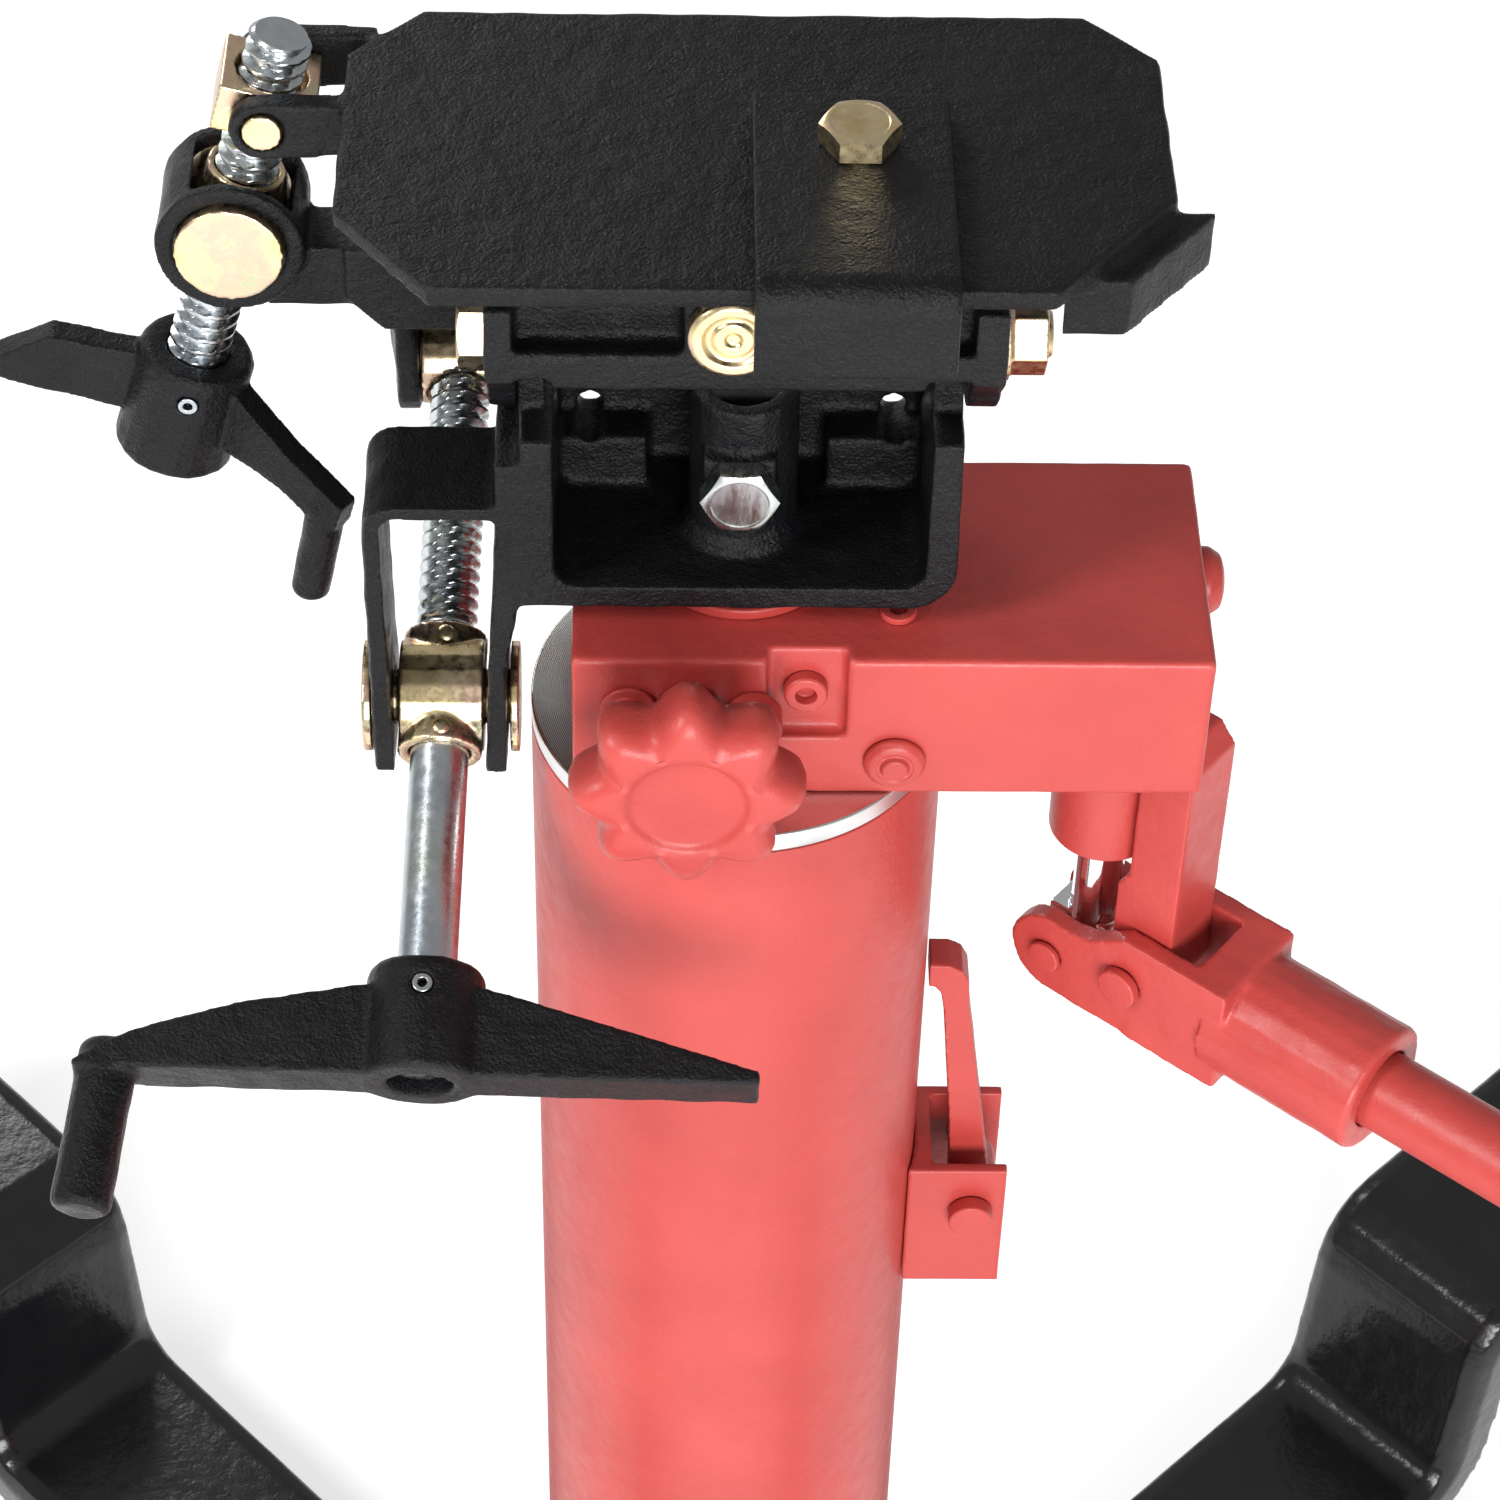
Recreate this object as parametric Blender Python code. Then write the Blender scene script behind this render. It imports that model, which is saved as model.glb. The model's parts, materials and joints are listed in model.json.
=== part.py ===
"""Under-hoist telescopic transmission jack: base, hydraulic column, pump and tilting saddle.

Every named length is in millimetres and is turned into metres when a mesh is made.
The frame is +Z up with its origin on the floor under the ram's axis.  +X points to the
pump end, -Y is the operator's side, where the release knob and the long crank are.
"""
import math

import bmesh
import bpy
from mathutils import Matrix, Vector

MM = 0.001
GAP = 0.3                     # clearance between pieces that touch

# --- base and casters ---------------------------------------------------------------
WHEEL_R = 50
WHEEL_WIDTH = 32
CASTER_RADIUS = 510           # from the ram's axis to each swivel axis
CASTER_TRAIL = 36
CASTER_PLATE_Z = 128          # underside of the raised leg end
LEG_PLATE = 8
LEG_WIDTH = 90
LEG_FLANGE = 18
LEG_LOW_TOP = 40
LEG_START = 52
LEG_BEND_LOW = 380
LEG_BEND_HIGH = 391
LEG_END = 562
LEG_BEND_R = 14
LEG_CROWN_R = 32              # wider than the flange is deep, so the flange stays open
BASE_TURN = -1.3              # degrees the base sits turned against the pump block
HUB_R = 100
HUB_TOP = 54

# --- hydraulic column ---------------------------------------------------------------
CAP_TOP = 716                 # top of the machined reservoir cap
TUBE_R = 54
TUBE_WALL = 3
CAP_THICK = 6
CYLINDER_R = 26
CYLINDER_BORE_R = 22
OUTER_RAM_R = 20
INNER_RAM_R = 14
SPIGOT_R = 9
RAM_HOLE_R = 20.4

# --- pump block ---------------------------------------------------------------------
BLOCK_X = (-42.4, 117.6)
BLOCK_HALF_Y = 38.6
BLOCK_HEIGHT = 46.1
BLOCK_TOP = CAP_TOP + BLOCK_HEIGHT
FRONT = -BLOCK_HALF_Y
GLAND_R = 24
GLAND_HEIGHT = 3.6
KNOB_X = -13.5
KNOB_Z = CAP_TOP + 32
KNOB_R = 26.6
KNOB_WAVE = 2.4
KNOB_LOBES = 8
KNOB_BACK = -57
KNOB_FACE = -76

# --- pump lever, turned in plan about the pump piston's axis --------------------------
PISTON_X = 99.5
LEVER_TURN = math.radians(-40)
PUMP_CYLINDER_R = 15
PUMP_CYLINDER_DROP = 49
PISTON_R = 6.8
FORK_HALF = 16.5
SLOT_HALF = 10.4
SLOT_END = 41
FORK_END = 53.5
PIN_A_R = 3.7
PIN_B_R = 4.8
FORK_BOTTOM = CAP_TOP - 104.5
FORK_TOP = CAP_TOP - 68.5
PIN_A = (-3.5, CAP_TOP - 90.0)     # piston pin: along the lever, height
PIN_B = (21.3, CAP_TOP - 84.5)     # fulcrum pin
SOCKET_AXIS_Z = CAP_TOP - 87.5
SOCKET_R = 18.5
SOCKET_BORE_R = 11.4
SOCKET_END = 95
HANDLE_R = 11
HANDLE_END = 424

# --- head casting ---------------------------------------------------------------------
HEAD_FRONT = -27
HEAD_BACK = 30
HEAD_BOTTOM = CAP_TOP + 53
HEAD_WALL_TOP = CAP_TOP + 106.5
TILT_AXIS_Z = CAP_TOP + 119.5
CLEVIS_TOP = CAP_TOP + 85
CLEVIS_BOTTOM = CAP_TOP - 5
BOSS_R = 13.7
HEAD_INNER = (-46.2, 44.6)
HEAD_OUTER = (-54.8, 52.6)
HEAD_BOLT_X = -1.2
HEAD_BOLT_Z = CAP_TOP + 83.5

# --- long tilt screw ----------------------------------------------------------------------
SCREW_1_LEAN = math.radians(68)    # from the vertical, crank end towards the operator
SCREW_1_TOE = math.radians(1.5)    # crank end swung outwards
TRUNNION_1 = Vector((-76.2, -11, CAP_TOP + 7.4))
NUT_1_REACH = 99.6
SCREW_R = 7.9
BARREL_R = 14.4
CRANK_1_FACE = 106
CRANK_2_FACE = 76

# --- tilt frame and saddle ----------------------------------------------------------------
EAR_LEFT = (-62.1, -55.3)
EAR_RIGHT = (53, 61)
FRAME_TOP = CAP_TOP + 147
ROLL_AXIS = (-3.8, CAP_TOP + 142)  # saddle pivot along Y: x, z
RING_2 = Vector((-127, 45, CAP_TOP + 118))
SCREW_2_LEAN = math.radians(15.5)
NUT_2_REACH = 39.4
PLATE_BOTTOM = CAP_TOP + 158.5
PLATE_TOP = CAP_TOP + 164.3

COLOURS = {
    "red": ((0.48, 0.045, 0.04), 0.0, 0.38),
    "black": ((0.018, 0.018, 0.02), 0.0, 0.5),
    "zinc": ((0.62, 0.66, 0.70), 1.0, 0.3),
    "gold": ((0.72, 0.60, 0.34), 1.0, 0.32),
    "steel": ((0.78, 0.78, 0.78), 1.0, 0.22),
    "chrome": ((0.85, 0.86, 0.88), 1.0, 0.08),
    "rubber": ((0.03, 0.03, 0.032), 0.0, 0.75),
}


# ======================================================================================
# Shape helpers: each makes one closed mesh object, in millimetres before scaling
# ======================================================================================
def clear_scene():
    for old in list(bpy.data.objects):
        bpy.data.objects.remove(old, do_unlink=True)


def paint(obj, colour):
    """Give an object its own Principled material."""
    rgb, metallic, roughness = COLOURS[colour]
    material = bpy.data.materials.new(obj.name + "_" + colour)
    material.use_nodes = True
    shader = material.node_tree.nodes["Principled BSDF"]
    shader.inputs["Base Color"].default_value = (*rgb, 1.0)
    shader.inputs["Metallic"].default_value = metallic
    shader.inputs["Roughness"].default_value = roughness
    obj.data.materials.append(material)


def finish(name, bm, colour=None, place=None, pivot=(0, 0, 0)):
    """Turn a bmesh in millimetres into a placed object whose origin is at pivot."""
    if place is not None:
        bmesh.ops.transform(bm, matrix=place, verts=bm.verts)
    bmesh.ops.recalc_face_normals(bm, faces=bm.faces)
    shift = Matrix.Translation(-Vector(pivot))
    bmesh.ops.transform(bm, matrix=Matrix.Scale(MM, 4) @ shift, verts=bm.verts)
    mesh = bpy.data.meshes.new(name)
    bm.to_mesh(mesh)
    bm.free()
    obj = bpy.data.objects.new(name, mesh)
    obj.location = Vector(pivot) * MM
    bpy.context.scene.collection.objects.link(obj)
    mesh.shade_smooth()
    mesh.set_sharp_from_angle(angle=math.radians(32))
    if colour:
        paint(obj, colour)
    return obj


def prism_mesh(outline, low, high):
    """Extrude a closed XY outline from Z = low to Z = high."""
    bm = bmesh.new()
    ring = [bm.verts.new((x, y, low)) for x, y in outline]
    face = bm.faces.new(ring)
    moved = bmesh.ops.extrude_face_region(bm, geom=[face])["geom"]
    top = [item for item in moved if isinstance(item, bmesh.types.BMVert)]
    bmesh.ops.translate(bm, vec=(0, 0, high - low), verts=top)
    return bm


def turned_mesh(profile, segments=20):
    """Revolve a closed (radius, height) outline about Z; radius 0 makes a pole."""
    bm = bmesh.new()
    rings = []
    for radius, height in profile:
        if radius == 0:
            rings.append([bm.verts.new((0, 0, height))])
            continue
        turns = (2 * math.pi * i / segments for i in range(segments))
        rings.append([bm.verts.new((radius * math.cos(t), radius * math.sin(t), height))
                      for t in turns])
    for first, second in zip(rings, rings[1:] + rings[:1]):
        if len(first) == 1 and len(second) == 1:
            continue
        for i in range(segments):
            j = (i + 1) % segments
            corners = [first[i % len(first)], first[j % len(first)],
                       second[j % len(second)], second[i % len(second)]]
            bm.faces.new(list(dict.fromkeys(corners)))
    return bm


def along(origin, direction, side=(0, 0, 1)):
    """A placement whose local Z runs along direction and local X is close to side."""
    z_axis = Vector(direction).normalized()
    x_axis = Vector(side) - Vector(side).dot(z_axis) * z_axis
    if x_axis.length < 1e-6:
        x_axis = Vector((1, 0, 0)) - z_axis.x * z_axis
    x_axis.normalize()
    y_axis = z_axis.cross(x_axis)
    rotation = Matrix((x_axis, y_axis, z_axis)).transposed().to_4x4()
    return Matrix.Translation(Vector(origin)) @ rotation


def front_outline(outline, front, back, pivot=(0, 0, 0), name="", colour=None):
    """Extrude an XZ outline, as seen from the front, between two Y planes."""
    bm = prism_mesh(outline, 0, back - front)
    place = Matrix.Translation((0, back, 0)) @ Matrix.Rotation(math.radians(90), 4, "X")
    return finish(name, bm, colour, place, pivot)


def side_outline(outline, left, right, pivot=(0, 0, 0), name="", colour=None):
    """Extrude a YZ outline, as seen from the side, between two X planes."""
    bm = prism_mesh(outline, 0, right - left)
    place = Matrix(((0, 0, 1, left), (1, 0, 0, 0), (0, 1, 0, 0), (0, 0, 0, 1)))
    return finish(name, bm, colour, place, pivot)


def box(name, xs, ys, zs, colour=None, place=None, pivot=(0, 0, 0)):
    outline = [(xs[0], ys[0]), (xs[1], ys[0]), (xs[1], ys[1]), (xs[0], ys[1])]
    return finish(name, prism_mesh(outline, *zs), colour, place, pivot)


def turned(name, profile, colour=None, place=None, pivot=(0, 0, 0), segments=20):
    return finish(name, turned_mesh(profile, segments), colour, place, pivot)


def rod(name, radius, start, end, colour=None, place=None, pivot=(0, 0, 0), segments=20):
    profile = [(0, start), (radius, start), (radius, end), (0, end)]
    return turned(name, profile, colour, place, pivot, segments)


def tube_profile(inner, outer, low, high):
    return [(inner, low), (outer, low), (outer, high), (inner, high)]


def arc(cx, cy, radius, start, end, steps=6):
    """Points on an arc, angles in degrees."""
    angles = [math.radians(start + (end - start) * i / steps) for i in range(steps + 1)]
    return [(cx + radius * math.cos(a), cy + radius * math.sin(a)) for a in angles]


def hexagon(across_flats):
    corner = across_flats / math.sqrt(3)
    return arc(0, 0, corner, 0, 300, 5)


def combine(obj, other, operation):
    """Join other to obj, or cut it away, and keep other as a hidden guide."""
    other.hide_render = True
    other.display_type = "WIRE"
    modifier = obj.modifiers.new(operation.title() + "_" + other.name, "BOOLEAN")
    modifier.operation = operation
    modifier.solver = "EXACT"
    modifier.object = other


def join(obj, *others):
    for other in others:
        combine(obj, other, "UNION")


def cut(obj, *others):
    for other in others:
        combine(obj, other, "DIFFERENCE")


def soften(obj, width, segments=1):
    """Break the sharp edges of a plain block."""
    bevel = obj.modifiers.new("Broken_edges", "BEVEL")
    bevel.width = width * MM
    bevel.segments = segments
    bevel.limit_method = "ANGLE"
    bevel.angle_limit = math.radians(40)


# ======================================================================================
# Base: hub, four gooseneck legs and swivel casters
# ======================================================================================
def base_hub():
    profile = [(0, LEG_LOW_TOP + GAP), (HUB_R - 3, LEG_LOW_TOP + GAP), (HUB_R, LEG_LOW_TOP + 3),
               (HUB_R, HUB_TOP - 3), (HUB_R - 3, HUB_TOP), (TUBE_R + 13, HUB_TOP),
               (TUBE_R + 10, HUB_TOP + 3), (TUBE_R + 10, HUB_TOP + 22),
               (TUBE_R + 6, HUB_TOP + 26), (TUBE_R + GAP, HUB_TOP + 26),
               (TUBE_R + GAP, HUB_TOP + 2), (0, HUB_TOP + 2)]
    turned("base_hub", profile, "black", segments=30)


def leg_path():
    """Stations (radius, height, slope) of the leg's top face, bends included."""
    rise_top = CASTER_PLATE_Z + LEG_PLATE
    slope = math.atan2(rise_top - LEG_LOW_TOP, LEG_BEND_HIGH - LEG_BEND_LOW)
    setback = LEG_BEND_R * math.tan(slope / 2)
    crown_setback = LEG_CROWN_R * math.tan(slope / 2)
    stations = [(LEG_START, LEG_LOW_TOP, 0.0)]
    steps = 4
    for i in range(steps + 1):
        turn = slope * i / steps
        stations.append((LEG_BEND_LOW - setback + LEG_BEND_R * math.sin(turn),
                         LEG_LOW_TOP + LEG_BEND_R * (1 - math.cos(turn)), turn))
    for i in range(steps + 1):
        turn = slope * (steps - i) / steps
        stations.append((LEG_BEND_HIGH + crown_setback - LEG_CROWN_R * math.sin(turn),
                         rise_top - LEG_CROWN_R * (1 - math.cos(turn)), turn))
    stations.append((LEG_END, rise_top, 0.0))
    return stations


def leg_section():
    """The pressed channel's section: across the leg, and down from its top face."""
    half = LEG_WIDTH / 2
    outer = arc(half - 9, -9, 9, 0, 90, 2) + arc(-half + 9, -9, 9, 90, 180, 2)
    inner_half = half - LEG_PLATE
    foot = -LEG_PLATE - LEG_FLANGE
    inner = [(-half, foot), (-inner_half, foot), (-inner_half, -LEG_PLATE),
             (inner_half, -LEG_PLATE), (inner_half, foot), (half, foot)]
    return outer + inner


def leg(index, angle):
    bm = bmesh.new()
    rings = []
    for radius, height, slope in leg_path():
        rings.append([bm.verts.new((radius - drop * math.sin(slope), across,
                                    height + drop * math.cos(slope)))
                      for across, drop in leg_section()])
    count = len(rings[0])
    for first, second in zip(rings, rings[1:]):
        for i in range(count):
            j = (i + 1) % count
            bm.faces.new((first[i], first[j], second[j], second[i]))
    bm.faces.new(rings[0])
    bm.faces.new(rings[-1])
    finish("leg_%d" % index, bm, "black", Matrix.Rotation(angle, 4, "Z"))


def caster(index, angle):
    """One swivel caster, trailing away from the column."""
    turn = Matrix.Rotation(angle, 4, "Z")
    swivel = turn @ Vector((CASTER_RADIUS, 0, 0))
    axle = turn @ Vector((CASTER_RADIUS + CASTER_TRAIL, 0, WHEEL_R))
    half_in = WHEEL_WIDTH / 2 + 2
    half_out = half_in + 3
    crown = WHEEL_R * 2 + 5
    plate_name = "caster_plate_%d" % index
    plate = box(plate_name, (CASTER_RADIUS - 34, CASTER_RADIUS + 34), (-30, 30),
                (CASTER_PLATE_Z - 4 - GAP, CASTER_PLATE_Z - GAP), "zinc", turn)
    stem = rod("stem_guide_%d" % index, 8, 104, CASTER_PLATE_Z - 3,
               place=turn @ Matrix.Translation((CASTER_RADIUS, 0, 0)), segments=12)
    join(plate, stem)

    top = CASTER_PLATE_Z - 4 - 2 * GAP
    race = [(8 + GAP, crown), (23, crown), (25, crown + 4), (25, top - 3), (22, top),
            (8 + GAP, top)]
    fork = turned("caster_fork_%d" % index, race, "zinc",
                  turn @ Matrix.Translation((CASTER_RADIUS, 0, 0)), swivel, 14)
    reach = CASTER_TRAIL + 11
    cheek = [(-24, crown + 3), (-24, crown - 4), (reach - 23, WHEEL_R - 4)]
    cheek += arc(CASTER_TRAIL, WHEEL_R, 11, 225, 360, 4)
    cheek += [(reach - 4, crown - 10), (24, crown + 3)]
    outline = [(CASTER_RADIUS + x, z) for x, z in cheek]
    body = front_outline(outline, -half_out, half_out, name="fork_guide_%d" % index)
    body.matrix_world = turn @ body.matrix_world
    well = box("well_guide_%d" % index, (CASTER_RADIUS - 60, CASTER_RADIUS + 90),
               (-half_in, half_in), (0, crown - 1), place=turn)
    bore = rod("swivel_bore_%d" % index, 8 + GAP, 80, 140,
               place=turn @ Matrix.Translation((CASTER_RADIUS, 0, 0)), segments=12)
    cut(body, well)
    join(fork, body)
    cut(fork, bore)
    tread = [(6.4, -WHEEL_WIDTH / 2 - 1), (15, -WHEEL_WIDTH / 2 - 1),
             (18, -WHEEL_WIDTH / 2 + 4), (34, -WHEEL_WIDTH / 2 + 4),
             (37, -WHEEL_WIDTH / 2), (WHEEL_R - 4, -WHEEL_WIDTH / 2),
             (WHEEL_R, -WHEEL_WIDTH / 2 + 6)]
    mirrored = [(r, -h) for r, h in reversed(tread)]
    sideways = turn @ Vector((0, 1, 0))
    turned("caster_wheel_%d" % index, tread + mirrored, "rubber", along(axle, sideways),
           axle, 18)
    pin_profile = [(0, -half_out), (6, -half_out), (6, half_out), (0, half_out)]
    pin = turned("axle_guide_%d" % index, pin_profile, place=along(axle, sideways),
                 segments=10)
    join(fork, pin)


# ======================================================================================
# Hydraulic column
# ======================================================================================
def column():
    foot = HUB_TOP + 2 + GAP
    tube_top = CAP_TOP - CAP_THICK - GAP
    turned("reservoir_tube", tube_profile(TUBE_R - TUBE_WALL, TUBE_R, foot, tube_top),
           "red", segments=30)
    cap = [(RAM_HOLE_R, CAP_TOP - CAP_THICK), (TUBE_R, CAP_TOP - CAP_THICK),
           (TUBE_R, CAP_TOP - 0.6), (TUBE_R - 0.6, CAP_TOP), (RAM_HOLE_R, CAP_TOP)]
    turned("reservoir_cap", cap, "steel", segments=30)
    turned("pressure_cylinder",
           tube_profile(CYLINDER_BORE_R, CYLINDER_R, foot, CAP_TOP - CAP_THICK - GAP), "steel")
    ram_top = BLOCK_TOP + GLAND_HEIGHT + 1.2
    outer = [(INNER_RAM_R + GAP, 130), (CYLINDER_BORE_R - GAP, 130),
             (CYLINDER_BORE_R - GAP, 150), (OUTER_RAM_R, 152), (OUTER_RAM_R, ram_top - 1),
             (OUTER_RAM_R - 1, ram_top), (INNER_RAM_R + GAP, ram_top)]
    turned("outer_ram", outer, "chrome")
    inner = [(0, 150), (INNER_RAM_R, 150), (INNER_RAM_R, HEAD_BOTTOM - GAP),
             (SPIGOT_R, HEAD_BOTTOM - GAP), (SPIGOT_R, CAP_TOP + 101), (SPIGOT_R - 1, CAP_TOP + 102),
             (0, CAP_TOP + 102)]
    turned("inner_ram", inner, "chrome")


def pump_block():
    block = box("pump_block", BLOCK_X, (FRONT, BLOCK_HALF_Y), (CAP_TOP + GAP, BLOCK_TOP), "red")
    soften(block, 0.8)
    ram_hole = rod("ram_hole", RAM_HOLE_R, CAP_TOP - 5, BLOCK_TOP + 5)
    notch = side_outline([(FRONT - 5, BLOCK_TOP + 5), (FRONT + 5, BLOCK_TOP + 5),
                          (FRONT + 5, BLOCK_TOP), (FRONT + 4, BLOCK_TOP - 26),
                          (FRONT - 5, BLOCK_TOP - 26)], 6, 26.2, name="screw_notch")
    cut(block, ram_hole, notch)
    gland = [(RAM_HOLE_R, BLOCK_TOP + GAP), (GLAND_R, BLOCK_TOP + GAP),
             (GLAND_R, BLOCK_TOP + GLAND_HEIGHT - 1), (GLAND_R - 1, BLOCK_TOP + GLAND_HEIGHT),
             (RAM_HOLE_R, BLOCK_TOP + GLAND_HEIGHT)]
    turned("gland_nut", gland, "red", segments=24)


def block_fittings():
    """Screws and plugs that stand on the faces of the pump block."""
    out = (0, -1, 0)
    washer = [(0, 0), (7.1, 0), (7.1, 0.9), (6.7, 1.2), (4.6, 1.2), (4.4, 4.2), (3.2, 5.4),
              (0, 5.4)]
    turned("cover_screw", washer, "red",
           along((-28.2, FRONT - GAP, CAP_TOP + 30.4), out), segments=14)
    head = [(0, 1.6), (2.6, 1.6), (2.6, 3.6), (4.9, 3.6), (5.5, 3.0), (5.5, 0), (0, 0)]
    turned("bypass_screw", head[::-1], "red",
           along((16, FRONT + 4.2, BLOCK_TOP - 12.4), (0, -1, 0.04)), segments=14)
    dome = [(0, 0), (8, 0)] + [(8 * math.cos(math.radians(t)), 4.2 * math.sin(math.radians(t)))
                               for t in (15, 35, 55, 75)] + [(0, 4.2)]
    turned("gallery_plug", dome, "red", along((38.9, FRONT - GAP, CAP_TOP + 12.4), out),
           segments=14)
    turned("fill_plug", [(0, 0), (9, 0), (9, 2.5), (7, 5.5), (4, 6.4), (0, 6.4)], "red",
           along((BLOCK_X[1] + GAP, 8, CAP_TOP + 32), (1, 0, 0)), segments=14)
    bleed = [(0, 0), (4.6, 0), (4.6, 1.4), (4.2, 1.8), (2.2, 1.8), (2.2, 0.8), (0, 0.8)]
    turned("bleed_screw", bleed, "red", along((39, -20.7, BLOCK_TOP + GAP), (0, 0, 1)),
           segments=14)
    turned("check_valve_plug", [(0, 0), (7, 0), (7, 6.4), (6, 7.4), (0, 7.4)], "red",
           along((3.2, FRONT - GAP, CAP_TOP + 29.5), out), segments=14)


def release_valve():
    """Bonnet on the block, and the eight-lobed knob on its stem."""
    out = (0, -1, 0)
    origin = (KNOB_X, 0, KNOB_Z)
    bonnet_end = 51.5
    bonnet = [(4.3, -FRONT + GAP), (7.2, -FRONT + GAP), (7.2, bonnet_end - 1),
              (6.2, bonnet_end), (4.3, bonnet_end)]
    turned("valve_bonnet", bonnet, "red", along(origin, out), segments=16)
    steps = KNOB_LOBES * 6
    lobes = []
    for i in range(steps):
        turn = 2 * math.pi * i / steps
        radius = KNOB_R + KNOB_WAVE * math.cos(KNOB_LOBES * turn)
        lobes.append((radius * math.cos(turn), radius * math.sin(turn)))
    knob = finish("release_knob", prism_mesh(lobes, -KNOB_BACK, -KNOB_FACE), "red",
                  along(origin, out), origin)
    soften(knob, 3.0)
    hub = rod("knob_hub", 9, bonnet_end + GAP, -KNOB_BACK + 4, place=along(origin, out))
    dish = turned("knob_dish", [(0, 72.5), (14.5, 72.5), (18, 77), (0, 77)],
                  place=along(origin, out))
    stem = rod("knob_stem", 4, -FRONT + 2 * GAP, -KNOB_BACK + 3, place=along(origin, out),
               segments=12)
    join(knob, hub, stem)
    cut(knob, dish)


# ======================================================================================
# Pump: cylinder, piston, fulcrum bracket, lever and handle
# ======================================================================================
def lever_place():
    """Local X runs along the handle, local Y across the fork, Z stays up."""
    return Matrix.Translation((PISTON_X, 0, 0)) @ Matrix.Rotation(LEVER_TURN, 4, "Z")


def lever_point(along_lever, across, height):
    return lever_place() @ Vector((along_lever, across, height))


def lever_outline(name, outline, half_width, colour=None, pivot=(0, 0, 0), offset=0):
    """Extrude an outline given along the lever and up, symmetric across the fork."""
    bm = prism_mesh(outline, -half_width + offset, half_width + offset)
    place = lever_place() @ Matrix.Rotation(math.radians(90), 4, "X")
    return finish(name, bm, colour, place, pivot)


def pump():
    high = CAP_TOP - GAP
    low = CAP_TOP - PUMP_CYLINDER_DROP
    axis = Matrix.Translation((PISTON_X, 0, 0))
    turned("pump_cylinder", tube_profile(PISTON_R + 0.2, PUMP_CYLINDER_R, low, high), "red",
           axis, segments=20)
    eye_low = PIN_A[1] - 8
    eye_high = PIN_A[1] + 8
    home = lever_point(0, 0, PIN_A[1])
    piston = rod("pump_piston", PISTON_R, eye_high - 2, CAP_TOP - 13, "chrome", axis, home)
    tongue = lever_outline("tongue_guide", [(-11, eye_low), (9.5, eye_low), (9.5, eye_high),
                                            (-11, eye_high)], 6)
    middle = PIN_A[0] + 2.4
    reach, slot_r = 2.9, PIN_A_R + 1.3
    slot = arc(middle + reach, PIN_A[1], slot_r, -90, 90, 6)
    slot += arc(middle - reach, PIN_A[1], slot_r, 90, 270, 6)
    window = lever_outline("slot_guide", slot, 8)
    cut(tongue, window)
    join(piston, tongue)


def fulcrum_bracket():
    """Bar welded under the block's corner; the lever rocks on its lower end."""
    left, right = 12.3, 31.3
    half = (right - left) / 2
    beside = PUMP_CYLINDER_R + GAP
    under = CAP_TOP - PUMP_CYLINDER_DROP
    outline = [(right, CAP_TOP - 6), (right - 5, CAP_TOP), (beside, CAP_TOP),
               (beside, under - 2), (left, under - 7)]
    outline += arc(left + half, PIN_B[1], half, 180, 360, 8)
    bar = lever_outline("fulcrum_bracket", outline, 9.8, "red")
    cut(bar, lever_outline("fulcrum_bore", arc(*PIN_B, PIN_B_R + GAP, 0, 342, 19), 14))


def pump_lever():
    """Forked casting with a round socket for the handle."""
    ax, az = PIN_A
    pivot = lever_point(PIN_B[0], 0, PIN_B[1])
    outline = arc(ax + 1.2, az, 13.6, 105, 268, 12)
    outline += [(FORK_END - 1, FORK_BOTTOM), (FORK_END, FORK_BOTTOM + 1),
                (FORK_END, FORK_TOP - 1), (FORK_END - 1, FORK_TOP),
                (20, FORK_TOP), (9, FORK_TOP - 7.5), (3, az + 12.8)]
    lever = lever_outline("pump_lever", outline, FORK_HALF, "red", pivot)
    along_lever = lever_place() @ Matrix.Translation((0, 0, SOCKET_AXIS_Z)) @ Matrix.Rotation(
        math.radians(90), 4, "Y")
    socket = turned("socket_guide", [(0, 47), (SOCKET_R, 47), (SOCKET_R, SOCKET_END - 1.2),
                                     (SOCKET_R - 1.2, SOCKET_END), (0, SOCKET_END)],
                    place=along_lever, segments=22)
    slot = lever_outline("fork_slot", [(-25, FORK_BOTTOM - 9), (SLOT_END, FORK_BOTTOM - 9),
                                       (SLOT_END, FORK_TOP + 9), (-25, FORK_TOP + 9)], SLOT_HALF)
    bore = rod("socket_bore", SOCKET_BORE_R, 56, SOCKET_END + 9, place=along_lever)
    pin_a = lever_outline("piston_pin_bore", arc(ax, az, PIN_A_R + GAP, 0, 342, 19), 30)
    pin_b = lever_outline("fulcrum_pin_bore", arc(*PIN_B, PIN_B_R + GAP, 0, 342, 19), 30)
    join(lever, socket)
    cut(lever, slot, bore, pin_a, pin_b)

    across = lever_place().to_3x3() @ Vector((0, -1, 0))
    edge = FORK_HALF + GAP
    small = [(0, -edge), (PIN_A_R, -edge), (PIN_A_R, edge), (4.8, edge), (4.8, edge + 1.2),
             (4.1, edge + 1.8), (0, edge + 1.8)]
    turned("piston_pin", small, "red", along(lever_point(ax, 0, az), across),
           lever_point(ax, 0, az), 14)
    large = [(0, -edge), (PIN_B_R, -edge), (PIN_B_R, edge), (6, edge), (6, edge + 2.2),
             (5.2, edge + 3), (0, edge + 3)]
    turned("fulcrum_pin", large, "red", along(pivot, across), pivot, 16)

    grip = [(0, 56 + GAP), (HANDLE_R, 56 + GAP), (HANDLE_R, HANDLE_END - 3),
            (HANDLE_R - 3, HANDLE_END), (0, HANDLE_END)]
    turned("pump_handle", grip, "red", along_lever, pivot, 18)


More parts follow.
